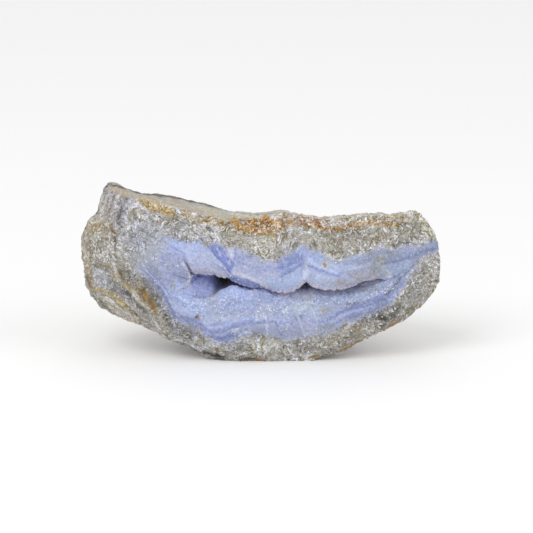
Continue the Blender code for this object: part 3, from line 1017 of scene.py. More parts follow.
AMBER_MARKS: tuple[Mark, ...] = (
    Patch("134,283 142,286 150,291 156,300 158,308 152,311 146,301 138,293", "#7c6838", 2.5, 0.62),
    Band("141.5,289.5 144.5,300", "#644c00", 3.8, 1),
    Band("144.5,295 145.5,299.5", "#866200", 2.8, 1),
    Band("145.2,298.8", "#946200", 1.8, 1),
    Band("149,301 153,306", "#6a5406", 2.4, 0.95),
    Band("153,306.5 155,311", "#866200", 2.6, 1),
    Band("204,352.5 214,355.5 224,358", "#1d190e", 2.4, 1),
    Band("176,341 188,347 200,353", "#4c483a", 1.4, 0.8),
    Band("240,359.5 252,359 258,360", "#3c2c08", 2.2, 1),
    Band("256,360 262,361", "#94700c", 1.4, 0.9),
    Band("310,357.2 318,356.7", "#967006", 1.5, 0.95),
    Band("341,350.6 347,348.4 353,345.2 361,341.2", "#9a700c", 1.6, 0.9),
    Band("390,326.2 395,323.4 400,320.6", "#9e6c1a", 1.5, 0.85),
    Band("119,273 121.5,274", "#6c5400", 1.9, 1),
    Band("126,284 131,289", "#8c6a20", 1.2, 0.8),
)
CAP_MARKS: tuple[Mark, ...] = (
    Patch("208,206 236,212 256,214 286,211 286,216 256,219 236,220 214,216", "#b9b7aa", 3, 0.8),
    Band("180,208 200,212", "#c9ac68", 1.4, 0.6, Spread.SPECKS),
    Band("206,210 214,212", "#c3bd86", 1.6, 0.6),
    Band("230,214.5 262,216 284,213", "#dcd8ce", 1.6, 0.7, Spread.SPECKS),
    Band("262,219 286,216", "#b99a68", 1.4, 0.6, Spread.SPECKS),
    Patch("108,184 130,190 132,197 118,195", "#b5a78c", 2.5, 0.8),
    Band("110,188 122,193 124,197", "#b8a06c", 1.6, 0.7, Spread.SPECKS),
    # Painted shadow: a dark line along the top edge.
    Band("107,183.5 124,187 141,193 163,195.5 183,199 206,204 229,210.5 256,213.5 270,212",
         "#38342b", 1.3, 0.95),
    Band("172,199 178,202", "#b08c78", 1.5, 0.6),
    Band("134,196 150,199 168,204 186,209", "#b5a88c", 1.5, 0.7),
)
END_MARKS: tuple[Mark, ...] = (
    Patch("104,186 114,190 130,197 120,212 118,232 108,226 102,210", "#a8a5ad", 3, 0.7),
    Band("106,189 104,197 100,207", "#6f6a66", 1.1, 0.85),
    Band("112,190 108,200 105,210", "#6c6764", 1.2, 0.85),
    Band("117,192 112,202 109,212", "#74706e", 1.1, 0.85),
    Band("104,189 101,200 97,211", "#dad8dc", 1.3, 0.85),
    Band("109,189 106,198 102,209", "#e0dee4", 1.3, 0.85),
    Band("114,191 110,201 107,212", "#dddbe0", 1.3, 0.85),
    Band("119,193 115,202 112,214", "#d8d6de", 1.4, 0.85),
    Band("111,188 121,193", "#c7a568", 1.6, 0.8),
    Patch("86,222 98,219 104,226 98,236 88,234", "#b8a06a", 3, 0.85),
    Band("88,231 96,233 102,229", "#8f8668", 1.2, 0.7),
    Patch("124,200 133,196 132,203 126,212 123,206", "#adaebb", 1.5, 0.8),
    Band("130,195 124,203 119,212 117,222", "#5f5f6a", 1.3, 0.95),
    # Painted shade in the groove between the end and the face.
    Band("125,207 122.5,214 122,221 121,230", "#555b84", 2.2, 1),
    Band("132,198 129,205 128,213 125,221", "#c3c4d2", 1.5, 0.9),
    Band("124,200 121,206", "#b4b6c4", 1.4, 0.8),
    Band("120,222 118,232", "#7c7a7c", 1.4, 0.8),
    Band("107,204 107,217 109,225 115,235", "#a08854", 1.4, 0.85),
    Band("112,229 115,236 116,244", "#8c6426", 1.4, 0.95),
    Band("116,246 116,258 117.5,270", "#6a6866", 1.2, 0.85),
    Band("113,248 112.5,256 114,268", "#c5c2bb", 1.6, 0.6),
    Patch("114,234 124,234 124,248 114,248", "#6c6964", 3, 0.95),
    Band("86,258.5 95,260 101,265 108.5,267.5 112,275 117,280", "#a88d58", 1.4, 0.95),
    # Painted shadow below the step line.
    Band("92,264 100,268.5 107,271 110,278 117,284", "#6b6a6e", 2.2, 0.85),
    Patch("91,268 106,272 110,281 108,290 94,286", "#a4a8b8", 2.5, 0.75),
    Band("96,270 99,276 98,286", "#e2e3ec", 1, 0.8),
    Band("101,272 104,279 105,288", "#e2e3ec", 1, 0.8),
    Band("93,268 94,277 93,286", "#dcdce4", 1, 0.7),
    Patch("108,278 118,284 128,292 138,306 124,300 108,290", "#83838c", 2.5, 0.85),
    Band("118,279 126,286 132,293 140,302 147,311", "#ece2bc", 1.1, 1),
    # Painted shadow: a dark band under the step.
    Band("122,288 130,295 137,305 143,312", "#4c4c52", 2.4, 0.95),
    Patch("92,290 112,293 126,303 144,322 130,320 112,308 98,300", "#b3ac98", 2.5, 0.75),
    Band("92,289 104,290.5 114,295 124,305 136,315 143,322", "#c8ac5c", 1.1, 0.95),
    Band("116,297.5 123.5,305", "#d8b848", 1.3, 0.95),
    Band("94,293 106,296 118,304 132,316", "#6e6656", 0.8, 0.8),
    Band("98,296 108,299 120,308 134,319", "#eae5d6", 1.1, 0.9),
    Band("102,302 116,308 128,318", "#6a6354", 0.8, 0.8),
    Band("106,304 118,311 134,322", "#dcd3bc", 1, 0.8),
    Band("108,308 122,315 140,324", "#b4924c", 1, 0.8),
    Band("83,226 82,250 86,270 90,286", "#a38150", 3.2, 0.9, Spread.SPECKS),
    Patch("90,212 102,208 105,218 94,221", "#cecbc7", 2.5, 0.6),
    Band("87,240 89,249", "#6f6850", 1.8, 0.8),
    Patch("86,245 97,244 98,258 88,262", "#958a72", 2.5, 0.6),
    Band("94,296 101,304 110,309", "#35322a", 2, 0.95, Spread.SPECKS),
    Band("82,233 82.5,246", "#5b4a30", 1, 0.8, Spread.SPECKS),
    Band("86,276 87.5,284", "#3f382a", 1.3, 0.9),
    Patch("124,300 150,312 172,334 200,350 170,344 136,324", "#95949a", 3, 0.35),
    Band("140,318 160,332 184,344 204,354", "#8b8272", 1.6, 0.5, Spread.SPECKS),
    Patch("108,307 126,313 136,324 122,321", "#cfcbc6", 2.5, 0.7),
    DARK_CLEFT,
)


@dataclass
class Coat:
    """What the points of the skin carry for the material.

    Attributes:
        host: linear colour of the quartz, its cap, its old end and its crust.
        blue: linear colour of the chalcedony.
        sugar: how coarsely the surface sparkles, nought to one.
        lens: how far the point lies in the chalcedony.
        iron: how far iron stains the point.
        bark: how far the point lies on the old end.
    """

    host: Array
    blue: Array
    sugar: Array
    lens: Array
    iron: Array
    bark: Array

    def layers(self) -> dict[str, Array]:
        """Sort the values for the mesh.

        Returns:
            The layers by name, with four values to each point.
        """
        full = np.ones(self.sugar.shape + (1,))
        return {
            HOST_LAYER: np.concatenate([self.host, full], axis=-1),
            BLUE_LAYER: np.concatenate([self.blue, full], axis=-1),
            MASK_LAYER: np.stack([self.sugar, self.lens, self.iron, self.bark], axis=-1),
        }


def output(value: object) -> object:
    """The first output in use of a node, or the value itself where it isn't a node."""
    if isinstance(value, bpy.types.Node):
        return next(socket for socket in value.outputs if socket.enabled)
    return value


def add_node(tree: bpy.types.NodeTree, kind: str, inputs: dict[int | str, object] | None = None,
             **settings: object) -> bpy.types.Node:
    """Add a node with its settings, its socket values and its links.

    Args:
        tree: the material's node tree.
        kind: the node's type name.
        inputs: for each socket, by name or place, a value, or the output or node that
            feeds it.
        settings: the node's own properties.

    Returns:
        The new node.
    """
    node = tree.nodes.new(kind)
    for name, value in settings.items():
        setattr(node, name, value)
    for socket, value in (inputs or {}).items():
        source = output(value)
        if isinstance(source, bpy.types.NodeSocket):
            tree.links.new(source, node.inputs[socket])
        else:
            node.inputs[socket].default_value = source
    return node


RANGE = ("Value", "From Min", "From Max", "To Min", "To Max")
MIDDLE = (0.5, 0.5, 0.5)


class Op(Enum):
    """The nodes that fine patterns are woven with: type, sockets in order, settings."""

    TIMES = ("ShaderNodeMath", (0, 1), {"operation": "MULTIPLY"})
    TIMES_PLUS = ("ShaderNodeMath", (0, 1, 2), {"operation": "MULTIPLY_ADD"})
    LESS = ("ShaderNodeMath", (0, 1), {"operation": "SUBTRACT"})
    UNSIGNED = ("ShaderNodeMath", (0,), {"operation": "ABSOLUTE"})
    SWING = ("ShaderNodeMapRange", RANGE, {})
    STEP = ("ShaderNodeMapRange", RANGE, {"interpolation_type": "SMOOTHSTEP"})
    MOVE = ("ShaderNodeVectorMath", (0, 1), {"operation": "ADD"})
    APART = ("ShaderNodeVectorMath", (0, 1), {"operation": "SUBTRACT"})
    TINT = ("ShaderNodeVectorMath", (0, 1), {"operation": "MULTIPLY"})
    SCALE = ("ShaderNodeVectorMath", (0, "Scale"), {"operation": "SCALE"})
    DOT = ("ShaderNodeVectorMath", (0, 1), {"operation": "DOT_PRODUCT"})
    UNIT = ("ShaderNodeVectorMath", (0,), {"operation": "NORMALIZE"})
    NOISE = ("ShaderNodeTexNoise", ("Vector", "Scale", "Detail", "Roughness", "Distortion"), {})
    CELLS = ("ShaderNodeTexVoronoi", ("Vector", "Scale"), {})
    EDGES = ("ShaderNodeTexVoronoi", ("Vector", "Scale"), {"feature": "DISTANCE_TO_EDGE"})
    PARTS = ("ShaderNodeSeparateColor", ("Color",), {})
    BLEND = ("ShaderNodeMix", (6, 7, 0), {"data_type": "RGBA"})
    BUMP = ("ShaderNodeBump", ("Height", "Distance", "Strength"), {})


@dataclass(frozen=True)
class Weave:
    """A material while its fine patterns are woven: its nodes, the place and the masks."""

    tree: bpy.types.NodeTree
    place: bpy.types.NodeSocket
    sugar: bpy.types.NodeSocket
    lens: bpy.types.NodeSocket
    iron: bpy.types.NodeSocket
    bark: bpy.types.NodeSocket

    def add(self, op: Op, *values: object) -> bpy.types.Node:
        """Add a node, whose sockets take the values in their order."""
        kind, sockets, settings = op.value
        return add_node(self.tree, kind, dict(zip(sockets, values)), **settings)


@dataclass(frozen=True)
class Lines:
    """Winding lines where a noise crosses its middle.

    Attributes:
        size: wave of the noise in mm.
        thin: how far from the noise's middle a line reaches.
        shift: moves the noise, so that no two patterns agree.
        noise: its detail, roughness and distortion.
    """

    size: float
    thin: float
    shift: float
    noise: tuple[float, float, float] = (1.5, 0.5, 0.8)

    def draw(self, weave: Weave) -> bpy.types.Node:
        """Draw the lines.

        Args:
            weave: the material that they are drawn in.

        Returns:
            A node that gives one on a line and nought beside it.
        """
        place = weave.add(Op.MOVE, weave.place, (self.shift,) * 3)
        noise = weave.add(Op.NOISE, place, 1.0 / (self.size * MM), *self.noise)
        away = weave.add(Op.UNSIGNED, weave.add(Op.LESS, noise, 0.5))
        return weave.add(Op.STEP, away, 0.0, self.thin, 1.0, 0.0)


@dataclass(frozen=True)
class Clouds:
    """Clouds of a noise.

    Attributes:
        size: a usual cloud in mm.
        low: level of the noise at which a cloud starts.
        high: level from which it is full.
        shift: moves the noise, so that no two patterns agree.
        detail: how many finer octaves the noise has.
    """

    size: float
    low: float
    high: float
    shift: float
    detail: float = 2.0

    def draw(self, weave: Weave) -> bpy.types.Node:
        """Draw the clouds.

        Args:
            weave: the material that they are drawn in.

        Returns:
            A node that gives nought between the clouds and one where they are full.
        """
        place = weave.add(Op.MOVE, weave.place, (self.shift,) * 3)
        noise = weave.add(Op.NOISE, place, 1.0 / (self.size * MM), self.detail)
        return weave.add(Op.STEP, noise, self.low, self.high)


@dataclass(frozen=True)
class Dust:
    """A fine grain that makes a colour lighter and darker.

    Attributes:
        size: a usual speck in mm.
        swing: two levels of its noise, and the shares that the colour is scaled by there.
        detail: how many finer octaves the noise has.
    """

    size: float
    swing: Ramp
    detail: float = 1.0

    def over(self, weave: Weave, colour: object) -> bpy.types.Node:
        """Lay the grain over a colour."""
        noise = weave.add(Op.NOISE, weave.place, 1.0 / (self.size * MM), self.detail)
        return weave.add(Op.SCALE, colour, weave.add(Op.STEP, noise, *self.swing))


@dataclass(frozen=True)
class Needles:
    """Long thin crystals that run one way in a clump, each with a flat face of its own.

    Attributes:
        clump: width of a clump in mm.
        size: thickness of a crystal in mm.
        slim: nought for round grains, nearly one for needles.
        shake: how far the places are shaken, so that the crystals bend, in mm.
        bend: wave of that shaking, in clumps.
    """

    clump: float
    size: float
    slim: float
    shake: float
    bend: float = 0.35

    def draw(self, weave: Weave) -> tuple[object, object, object]:
        """Draw the crystals: each place is shrunk along its clump's direction, and round
        cells set in the shrunken space come out long.

        Args:
            weave: the material that they are drawn in.

        Returns:
            The shade of the crystal at a place, the height of its tilted face and the
            distance to its edge.
        """
        noise = weave.add(Op.NOISE, weave.place, 1.0 / (self.clump * MM * self.bend))
        shift = weave.add(Op.APART, noise.outputs["Color"], MIDDLE)
        shift = weave.add(Op.SCALE, shift, self.shake * MM)
        place = weave.add(Op.MOVE, weave.place, shift)
        clumps = weave.add(Op.CELLS, place, 1.0 / (self.clump * MM))
        run = weave.add(Op.UNIT, weave.add(Op.APART, clumps.outputs["Color"], MIDDLE))
        shrink = weave.add(Op.TIMES, weave.add(Op.DOT, place, run), -self.slim)
        shrunk = weave.add(Op.MOVE, place, weave.add(Op.SCALE, run, shrink))
        cells = weave.add(Op.CELLS, shrunk, 1.0 / (self.size * MM))
        edge = weave.add(Op.EDGES, shrunk, 1.0 / (self.size * MM))
        away = weave.add(Op.APART, shrunk, cells.outputs["Position"])
        tilt = weave.add(Op.APART, cells.outputs["Color"], MIDDLE)
        shade = weave.add(Op.PARTS, cells.outputs["Color"])
        return shade, weave.add(Op.DOT, away, tilt), edge


@dataclass(frozen=True)
class SugaryQuartz:
    """Colourless quartz in a mass of long crystals, broken across.

    Each crystal face is a little lighter or darker than the next, white glints are painted on
    the edges and the brightest crystals, and thin places let a touch of olive and of the blue
    beside them through. Its dust is finer on the stone, about 0.1 mm, and is drawn at 0.3 mm
    so that it shows.
    """

    dark: str = "#9b988f"
    light: Tinge = Tinge("#e0e0e1", 1.0, -0.1, 0.9)
    cloud_gain: float = 0.55
    grain_gain: float = 0.35
    olive: Tinge = Tinge("#a19c84", 0.5, -0.1, 0.6)
    warm: Tinge = Tinge("#b0a08a", 0.45, 0.1, 0.6)
    marks_cover: float = 0.8
    beside_blue: Tinge = Tinge("#b3b6c8", 0.4, -8.0, -1.0)

    sheaves: Clouds = Clouds(2.6, 0.45, 0.57, 0.9)
    sheaf_gain: float = 0.45
    sheaf_least: float = 0.55
    dark_face: Tint = (0.58, 0.53, 0.38, 1.0)
    light_face: Tint = (1.44, 1.47, 1.66, 1.0)
    gap: Ramp = (0.0, 0.12, 0.50, 1.0)
    dark_block: Tint = (0.88, 0.85, 0.72, 1.0)
    light_block: Tint = (1.12, 1.13, 1.20, 1.0)
    block_shades: Ramp = (0.2, 0.8)
    dust: Dust = Dust(0.3, (0.35, 0.65, 0.80, 1.20))
    plain: Tint = (1.0, 1.0, 1.0, 1.0)
    crack: str = "#625f55"
    cracks: tuple[tuple[Lines, float], ...] = (
        (Lines(2.2, 0.015, 1.7), 0.35),
        (Lines(7.0, 0.006, 2.9), 0.60),
    )
    calm: Ramp = (0.0, 1.0, 1.0, 0.35)
    # Painted glints: white on the brightest crystals and along thin edge lines.
    glint_white: str = "#efeff3"
    bright_shades: Ramp = (0.64, 0.82)
    bright_cover: float = 0.6
    glint_lines: Lines = Lines(1.5, 0.024, 0.3)
    glint_areas: Clouds = Clouds(4.0, 0.45, 0.62, 3.3)
    glint_cover: float = 0.8

    def paint(self, canvas: Canvas, share: Array) -> None:
        """Lay lighter and darker clumps, olive and warm clouds, and the marks.

        Args:
            canvas: the colours of the quartz.
            share: how far each point takes them.
        """
        patterns = canvas.patterns
        value = 0.5 + self.cloud_gain * patterns.cloud
        value = value + self.grain_gain * (patterns.coarse.shade - 0.5)
        canvas.lay(self.dark, share)
        self.light.lay(canvas, share, value)
        self.olive.lay(canvas, share, patterns.wide_cloud)
        self.warm.lay(canvas, share, patterns.warm_cloud)
        canvas.lay_marks(QUARTZ_MARKS, self.marks_cover * share)
        inside = depth_inside(canvas.across, canvas.down, LENS)
        self.beside_blue.lay(canvas, share, inside)
        canvas.lay_marks((BLUE_HAZE,), share)

    def weave(self, weave: Weave, colour: object, shade: object, edge: object,
              block: object) -> object:
        """Tint crystal by crystal, darken the gaps and paint glints on the bright edges.

        Args:
            weave: the material.
            colour: the quartz's broad colour.
            shade: shade of the crystal at a place.
            edge: distance to the crystal's edge.
            block: shade of the block of crystals.

        Returns:
            The colour of the broken quartz.
        """
        sheaf = self.sheaves.draw(weave)
        depth = weave.add(Op.TIMES_PLUS, sheaf, self.sheaf_gain, self.sheaf_least)
        face = weave.add(Op.BLEND, self.dark_face, self.light_face,
                         weave.add(Op.STEP, shade, 0.0, 1.0))
        face = weave.add(Op.SCALE, face, weave.add(Op.STEP, edge, *self.gap))
        broad = weave.add(Op.BLEND, self.dark_block, self.light_block,
                          weave.add(Op.STEP, block, *self.block_shades))
        face = self.dust.over(weave, weave.add(Op.TINT, face, broad))
        face = weave.add(Op.BLEND, self.plain, face, weave.add(Op.TIMES, weave.sugar, depth))
        colour = weave.add(Op.TINT, colour, face)
        for lines, cover in self.cracks:
            dark = weave.add(Op.TIMES, lines.draw(weave), weave.sugar)
            dark = weave.add(Op.TIMES, dark, cover)
            colour = weave.add(Op.BLEND, colour, linear(self.crack), dark)
        # Painted glints: white on the brightest crystals in the sheaves, and along thin lines.
        calm = weave.add(Op.STEP, weave.iron, *self.calm)
        bright = weave.add(Op.TIMES, weave.add(Op.STEP, shade, *self.bright_shades),
                           weave.add(Op.TIMES, sheaf, weave.sugar))
        bright = weave.add(Op.TIMES, weave.add(Op.TIMES, bright, calm), self.bright_cover)
        colour = weave.add(Op.BLEND, colour, linear(self.glint_white), bright)
        glint_lines = weave.add(Op.TIMES, self.glint_lines.draw(weave), weave.sugar)
        where = weave.add(Op.TIMES, self.glint_areas.draw(weave), calm)
        glint_lines = weave.add(Op.TIMES, weave.add(Op.TIMES, glint_lines, where), self.glint_cover)
        return weave.add(Op.BLEND, colour, linear(self.glint_white), glint_lines)


@dataclass(frozen=True)
class WeatheredCap:
    """The old top of the stone: a dull, even skin, pinkish tan to grey."""

    base: str = "#b9b2a6"
    cover: float = 0.85

    def paint(self, canvas: Canvas, share: Array) -> None:
        """Lay an even skin over the quartz, so that little of it shows through."""
        canvas.lay(self.base, share * self.cover)
        canvas.lay_marks(CAP_MARKS, share)


@dataclass(frozen=True)
class OldEnd:
    """The end on the left: an old break, ridged like bark, with clay in its pits."""

    clay: str = "#a0967c"
    clay_cover: float = 0.6
    ridged: Area = Area("88,228 106,222 114,236 115,268 104,264 90,258", 4.0)
    ridged_least: float = 0.55
    pit: str = "#5f5a4e"
    pit_gaps: Ramp = (0.02, 0.13, 1.0, 0.0)
    pit_cover: float = 0.75
    ridge: str = "#e0ddd8"
    ridge_gaps: Ramp = (0.08, 0.18)
    ridge_shades: Ramp = (0.25, 0.50)
    ridge_cover: float = 0.75

    def paint(self, canvas: Canvas, share: Array) -> None:
        """Lay clay in clouds, then the marks."""
        canvas.lay(self.clay, share * self.clay_cover * canvas.patterns.spreads[Spread.SEAMS])
        canvas.lay_marks(END_MARKS, share)

    def bark(self, canvas: Canvas, share: Array) -> Array:
        """How strongly the net of ridges stands out at each point."""
        rest = self.ridged_least
        return share * (rest + (1.0 - rest) * self.ridged.weight(canvas))

    def weave(self, weave: Weave, colour: object, block: object, gap: object) -> object:
        """Draw pale ridges with dark pits between them.

        Args:
            weave: the material.
            colour: the colour so far.
            block: shade of the block of crystals.
            gap: distance to the block's edge.

        Returns:
            The colour with ridges and pits on the old end.
        """
        pit = weave.add(Op.TIMES, weave.add(Op.STEP, gap, *self.pit_gaps), weave.bark)
        pit = weave.add(Op.TIMES, pit, self.pit_cover)
        colour = weave.add(Op.BLEND, colour, linear(self.pit), pit)
        ridge = weave.add(Op.TIMES, weave.add(Op.STEP, gap, *self.ridge_gaps),
                          weave.add(Op.STEP, block, *self.ridge_shades))
        ridge = weave.add(Op.TIMES, weave.add(Op.TIMES, ridge, weave.bark), self.ridge_cover)
        return weave.add(Op.BLEND, colour, linear(self.ridge), ridge)


@dataclass(frozen=True)
class IronStain:
    """Rust and ochre that seeped in along the broken edges, between clean crystals."""

    deep: tuple[float, float, float] = (0.60, 0.52, 0.18)
    blotches: Clouds = Clouds(1.3, 0.53, 0.62, 4.1)
    blotch_cover: float = 0.8
    clean: str = "#e9e4e2"
    clean_shades: Ramp = (0.70, 0.86)
    clean_cover: float = 0.55

    def paint(self, canvas: Canvas, share: Array) -> Array:
        """Lay the stains on, and return how far they cover each point."""
        return canvas.lay_marks(IRON_MARKS, share)

    def weave(self, weave: Weave, colour: object, shade: object) -> object:
        """Deepen the stain in blotches, and leave some crystals clean.

        Args:
            weave: the material.
            colour: the colour so far.
            shade: shade of the crystal at a place.

        Returns:
            The colour with its stain.
        """
        deeper = weave.add(Op.TINT, colour, self.deep)
        blotch = weave.add(Op.TIMES, self.blotches.draw(weave), weave.iron)
        blotch = weave.add(Op.TIMES, blotch, self.blotch_cover)
        colour = weave.add(Op.BLEND, colour, deeper, blotch)
        clean = weave.add(Op.TIMES, weave.add(Op.STEP, shade, *self.clean_shades), weave.iron)
        clean = weave.add(Op.TIMES, clean, self.clean_cover)
        return weave.add(Op.BLEND, colour, linear(self.clean), clean)


@dataclass(frozen=True)
class HollyChalcedony:
    """Blue chalcedony that grew in bands along the wall of the quartz.

    It is waxy and a little milky: the bands are faint, the outer ones more violet, and a
    dust of tiny crystals lies on it, most of all round the hollow, drawn as white flecks whose
    sparkle is painted. They are 0.1 to 0.2 mm wide on the stone and are drawn at 0.3 to 0.4 mm
    so that they show.
    """

    base: str = "#a2abce"
    milk: Tinge = Tinge("#b0bed8", 0.7, -0.2, 0.6)
    outer: Tinge = Tinge("#97a0c8", 0.5, 14.0, 2.0)
    deep_band: Tinge = Tinge("#929bc6", 0.24, 0.1, 1.0)
    pale_band: Tinge = Tinge("#b9c2dd", 0.20, 0.2, 1.0)
    band_steps: float = 4.4
    band_sway: float = 2.0
    crust: str = "#cac5d3"
    crust_cover: float = 0.6

    mottle: Ramp = (0.25, 0.75, 0.76, 1.24)
    mottle_size: float = 0.9
    mottle_noise: tuple[float, float] = (3.0, 0.85)
    dust: Dust = Dust(0.32, (0.34, 0.66, 0.86, 1.14))
    milk_fleck: str = "#c6cedc"
    milk_clouds: Clouds = Clouds(0.8, 0.50, 0.66, 7.2)
    milk_cover: float = 0.30
    # The white of the druse's flecks, painted as their sparkle.
    druse_sparkle: str = "#eceef3"
    fleck_size: float = 0.38
    fleck_reach: Ramp = (0.35, 0.70, 1.0, 0.0)
    fleck_gain: float = 0.34
    fleck_odds: Ramp = (1.00, 1.12)
    fleck_areas: Clouds = Clouds(2.0, 0.38, 0.50, 5.8)

    def paint(self, canvas: Canvas, lip: Array) -> None:
        """Lay the bands along the lens's outline, then the marks and the crust.

        Args:
            canvas: the colours of the chalcedony.
            lip: how far each point lies on the crusted lip.
        """
        patterns = canvas.patterns
        share = np.ones(lip.shape)
        inside = depth_inside(canvas.across, canvas.down, LENS)
        swayed = inside + self.band_sway * patterns.cloud
        growth = np.sin(2.0 * math.pi * swayed / self.band_steps)
        canvas.lay(self.base, share)
        self.milk.lay(canvas, share, patterns.cloud)
        self.outer.lay(canvas, share, inside)
        self.deep_band.lay(canvas, share, growth)
        self.pale_band.lay(canvas, share, -growth)
        canvas.lay_marks(CHALCEDONY_MARKS, share)
        canvas.lay(self.crust, lip * self.crust_cover * patterns.spreads[Spread.SPECKS])
        # Painted shade on the recessed wall under the lip.
        canvas.lay_marks((PAINTED_SHADE_WALL,), share)

    def weave(self, weave: Weave, colour: object) -> object:
        """Cloud the blue a little, and scatter flecks of painted sparkle where it is sugary.

        Args:
            weave: the material.
            colour: the chalcedony's broad colour.

        Returns:
            The colour of the chalcedony.
        """
        noise = weave.add(Op.NOISE, weave.place, 1.0 / (self.mottle_size * MM),
                          *self.mottle_noise)
        swing = weave.add(Op.SWING, noise, *self.mottle)
        colour = self.dust.over(weave, weave.add(Op.SCALE, colour, swing))
        milk = weave.add(Op.TIMES, self.milk_clouds.draw(weave), self.milk_cover)
        colour = weave.add(Op.BLEND, colour, linear(self.milk_fleck), milk)
        cells = weave.add(Op.CELLS, weave.place, 1.0 / (self.fleck_size * MM))
        chance = weave.add(Op.PARTS, cells.outputs["Color"])
        often = weave.add(Op.TIMES_PLUS, weave.sugar, self.fleck_gain, chance)
        dot = weave.add(Op.TIMES, weave.add(Op.STEP, cells, *self.fleck_reach),
                        weave.add(Op.STEP, often, *self.fleck_odds))
        dot = weave.add(Op.TIMES, dot, self.fleck_areas.draw(weave))
        return weave.add(Op.BLEND, colour, linear(self.druse_sparkle), dot)


@dataclass(frozen=True)
class HollowLining:
    """The wall deep in the hollow, darkened with painted shade."""

    wall: str = "#939bc8"
    wall_cover: float = 0.5
    # Painted shade: darker towards the inmost line, and darker again with depth behind the lips.
    crevice_shade: Tinge = Tinge("#74769a", 0.5, 0.45, 0.95)
    deep: Tinge = Tinge("#86838a", 1.0, 4.5, 9.0)
    marks_depth: float = 0.4

    def paint(self, canvas: Canvas, share: Array) -> None:
        """Paint shade on the wall, darker with depth behind the lips and towards the inmost line.

        Args:
            canvas: the colours of the chalcedony.
            share: how far each point lies on the wall.
        """
        canvas.lay(self.wall, share * self.wall_cover)
        self.crevice_shade.lay(canvas, 1.0, canvas.inward / canvas.inward[:1])
        self.deep.lay(canvas, 1.0, canvas.inward)
        canvas.lay_marks(HOLLOW_MARKS, smooth_step(canvas.inward, 0.0, self.marks_depth))


@dataclass(frozen=True)
class BackCrust:
    """The weathered back and belly: dull quartz with clay and rust in its pits."""

    skin: str = "#a59e90"
    skin_cover: float = 0.6
    clay: str = "#8f7f62"
    clay_cover: float = 0.5
    rust: Tinge = Tinge("#a5834f", 0.7, 0.1, 0.6)
    # The pale colour of the top rim: painted light where the top faces up.
    dust: str = "#e6dfd4"
    top_light_cover: float = 0.85
    rim_rust: Tinge = Tinge("#a5834f", 0.6, 0.0, 0.5)
    rim_heights: tuple[float, float] = (20.0, 30.0)
    rim_start: tuple[float, float] = (0.1, 1.2)
    rim_end: tuple[float, float] = (16.0, 8.0)

    def top_light_and_rust(self, canvas: Canvas, skin: Skin) -> None:
        """Lay painted light on the upward top behind the outline, and a little rust.

        Args:
            canvas: the colours of the quartz.
            skin: the smooth skin, for heights and for depths behind the outline in mm.
        """
        rim = smooth_step(skin.behind, *self.rim_start) * smooth_step(skin.behind, *self.rim_end)
        rim = rim * smooth_step(skin.points[..., 2] / MM, *self.rim_heights)
        canvas.lay(self.dust, self.top_light_cover * rim)
        self.rim_rust.lay(canvas, rim, canvas.patterns.warm_cloud)

    def paint(self, canvas: Canvas, share: Array) -> None:
        """Dull the quartz, then lay clay between its crystals and rust in broad clouds.

        Args:
            canvas: the colours of the quartz.
            share: how far each point lies on the back.
        """
        patterns = canvas.patterns
        canvas.lay(self.skin, share * self.skin_cover)
        canvas.lay(self.clay, share * self.clay_cover * patterns.spreads[Spread.SEAMS])
        self.rust.lay(canvas, share * patterns.spreads[Spread.SPECKS], patterns.wide_cloud)


@dataclass(frozen=True)
class BrokenAgate:
    """Agate broken by a blow: waxy chalcedony beside sugary quartz, unpolished.

    The chalcedony breaks dull and smooth, so it looks soft and even; the quartz breaks
    into small flat crystal faces, each of which catches the light in its own direction.
    Its needles are 0.1 to 0.3 mm thick on the stone and are drawn at 0.42 mm to show.

    Attributes:
        ior: refractive index of quartz.
        waxy: roughness of the chalcedony.
        glassy: roughness of the brightest crystal faces.
        crystals: the needles of the quartz.
        blocks: the blocks that they are bundled in.
        border: clouds that fray the border of the lens.
    """

    ior: float = 1.54
    waxy: float = 0.55
    glassy: float = 0.28
    crystals: Needles = Needles(clump=4.2, size=0.42, slim=0.80, shake=1.8)
    blocks: Needles = Needles(clump=4.0, size=1.1, slim=0.55, shake=2.0)
    relief: float = 1.6
    border: Clouds = Clouds(0.8, 0.3, 0.7, 2.6)
    border_reach: float = 0.30
    border_levels: Ramp = (0.56, 1.04)

    def material(self) -> bpy.types.Material:
        """Make the material, which reads the layers of the mesh.

        Returns:
            The material.
        """
        material = bpy.data.materials.new("broken_agate")
        material.use_nodes = True
        tree = material.node_tree
        place = add_node(tree, "ShaderNodeTexCoord").outputs["Object"]
        host, blue, masks = (add_node(tree, "ShaderNodeAttribute", attribute_name=name)
                             for name in (HOST_LAYER, BLUE_LAYER, MASK_LAYER))
        split = add_node(tree, "ShaderNodeSeparateColor", {"Color": masks.outputs["Color"]})
        sugar, lens, iron = split.outputs
        weave = Weave(tree, place, sugar, lens, iron, masks.outputs["Alpha"])
        shade, height, edge = self.crystals.draw(weave)
        block, _, gap = self.blocks.draw(weave)

        stone = SugaryQuartz().weave(weave, host.outputs["Color"], shade, edge, block)
        stone = OldEnd().weave(weave, stone, block, gap)
        stone = IronStain().weave(weave, stone, shade)
        wax = HollyChalcedony().weave(weave, blue.outputs["Color"])
        border = weave.add(Op.TIMES_PLUS, self.border.draw(weave), self.border_reach, lens)
        border = weave.add(Op.TIMES_PLUS, shade, self.border_reach, border)
        border = weave.add(Op.STEP, border, *self.border_levels)
        colour = weave.add(Op.BLEND, stone, wax, border)

        shader = tree.nodes["Principled BSDF"]
        shader.inputs["IOR"].default_value = self.ior
        bump = weave.add(Op.BUMP, weave.add(Op.TIMES, height, sugar), self.relief, 1.0)
        rough = weave.add(Op.STEP, weave.add(Op.TIMES, shade, sugar), 0.0, 1.0, self.waxy,
                          self.glassy)
        for name, node in (("Base Color", colour), ("Normal", bump), ("Roughness", rough)):
            tree.links.new(output(node), shader.inputs[name])
        return material


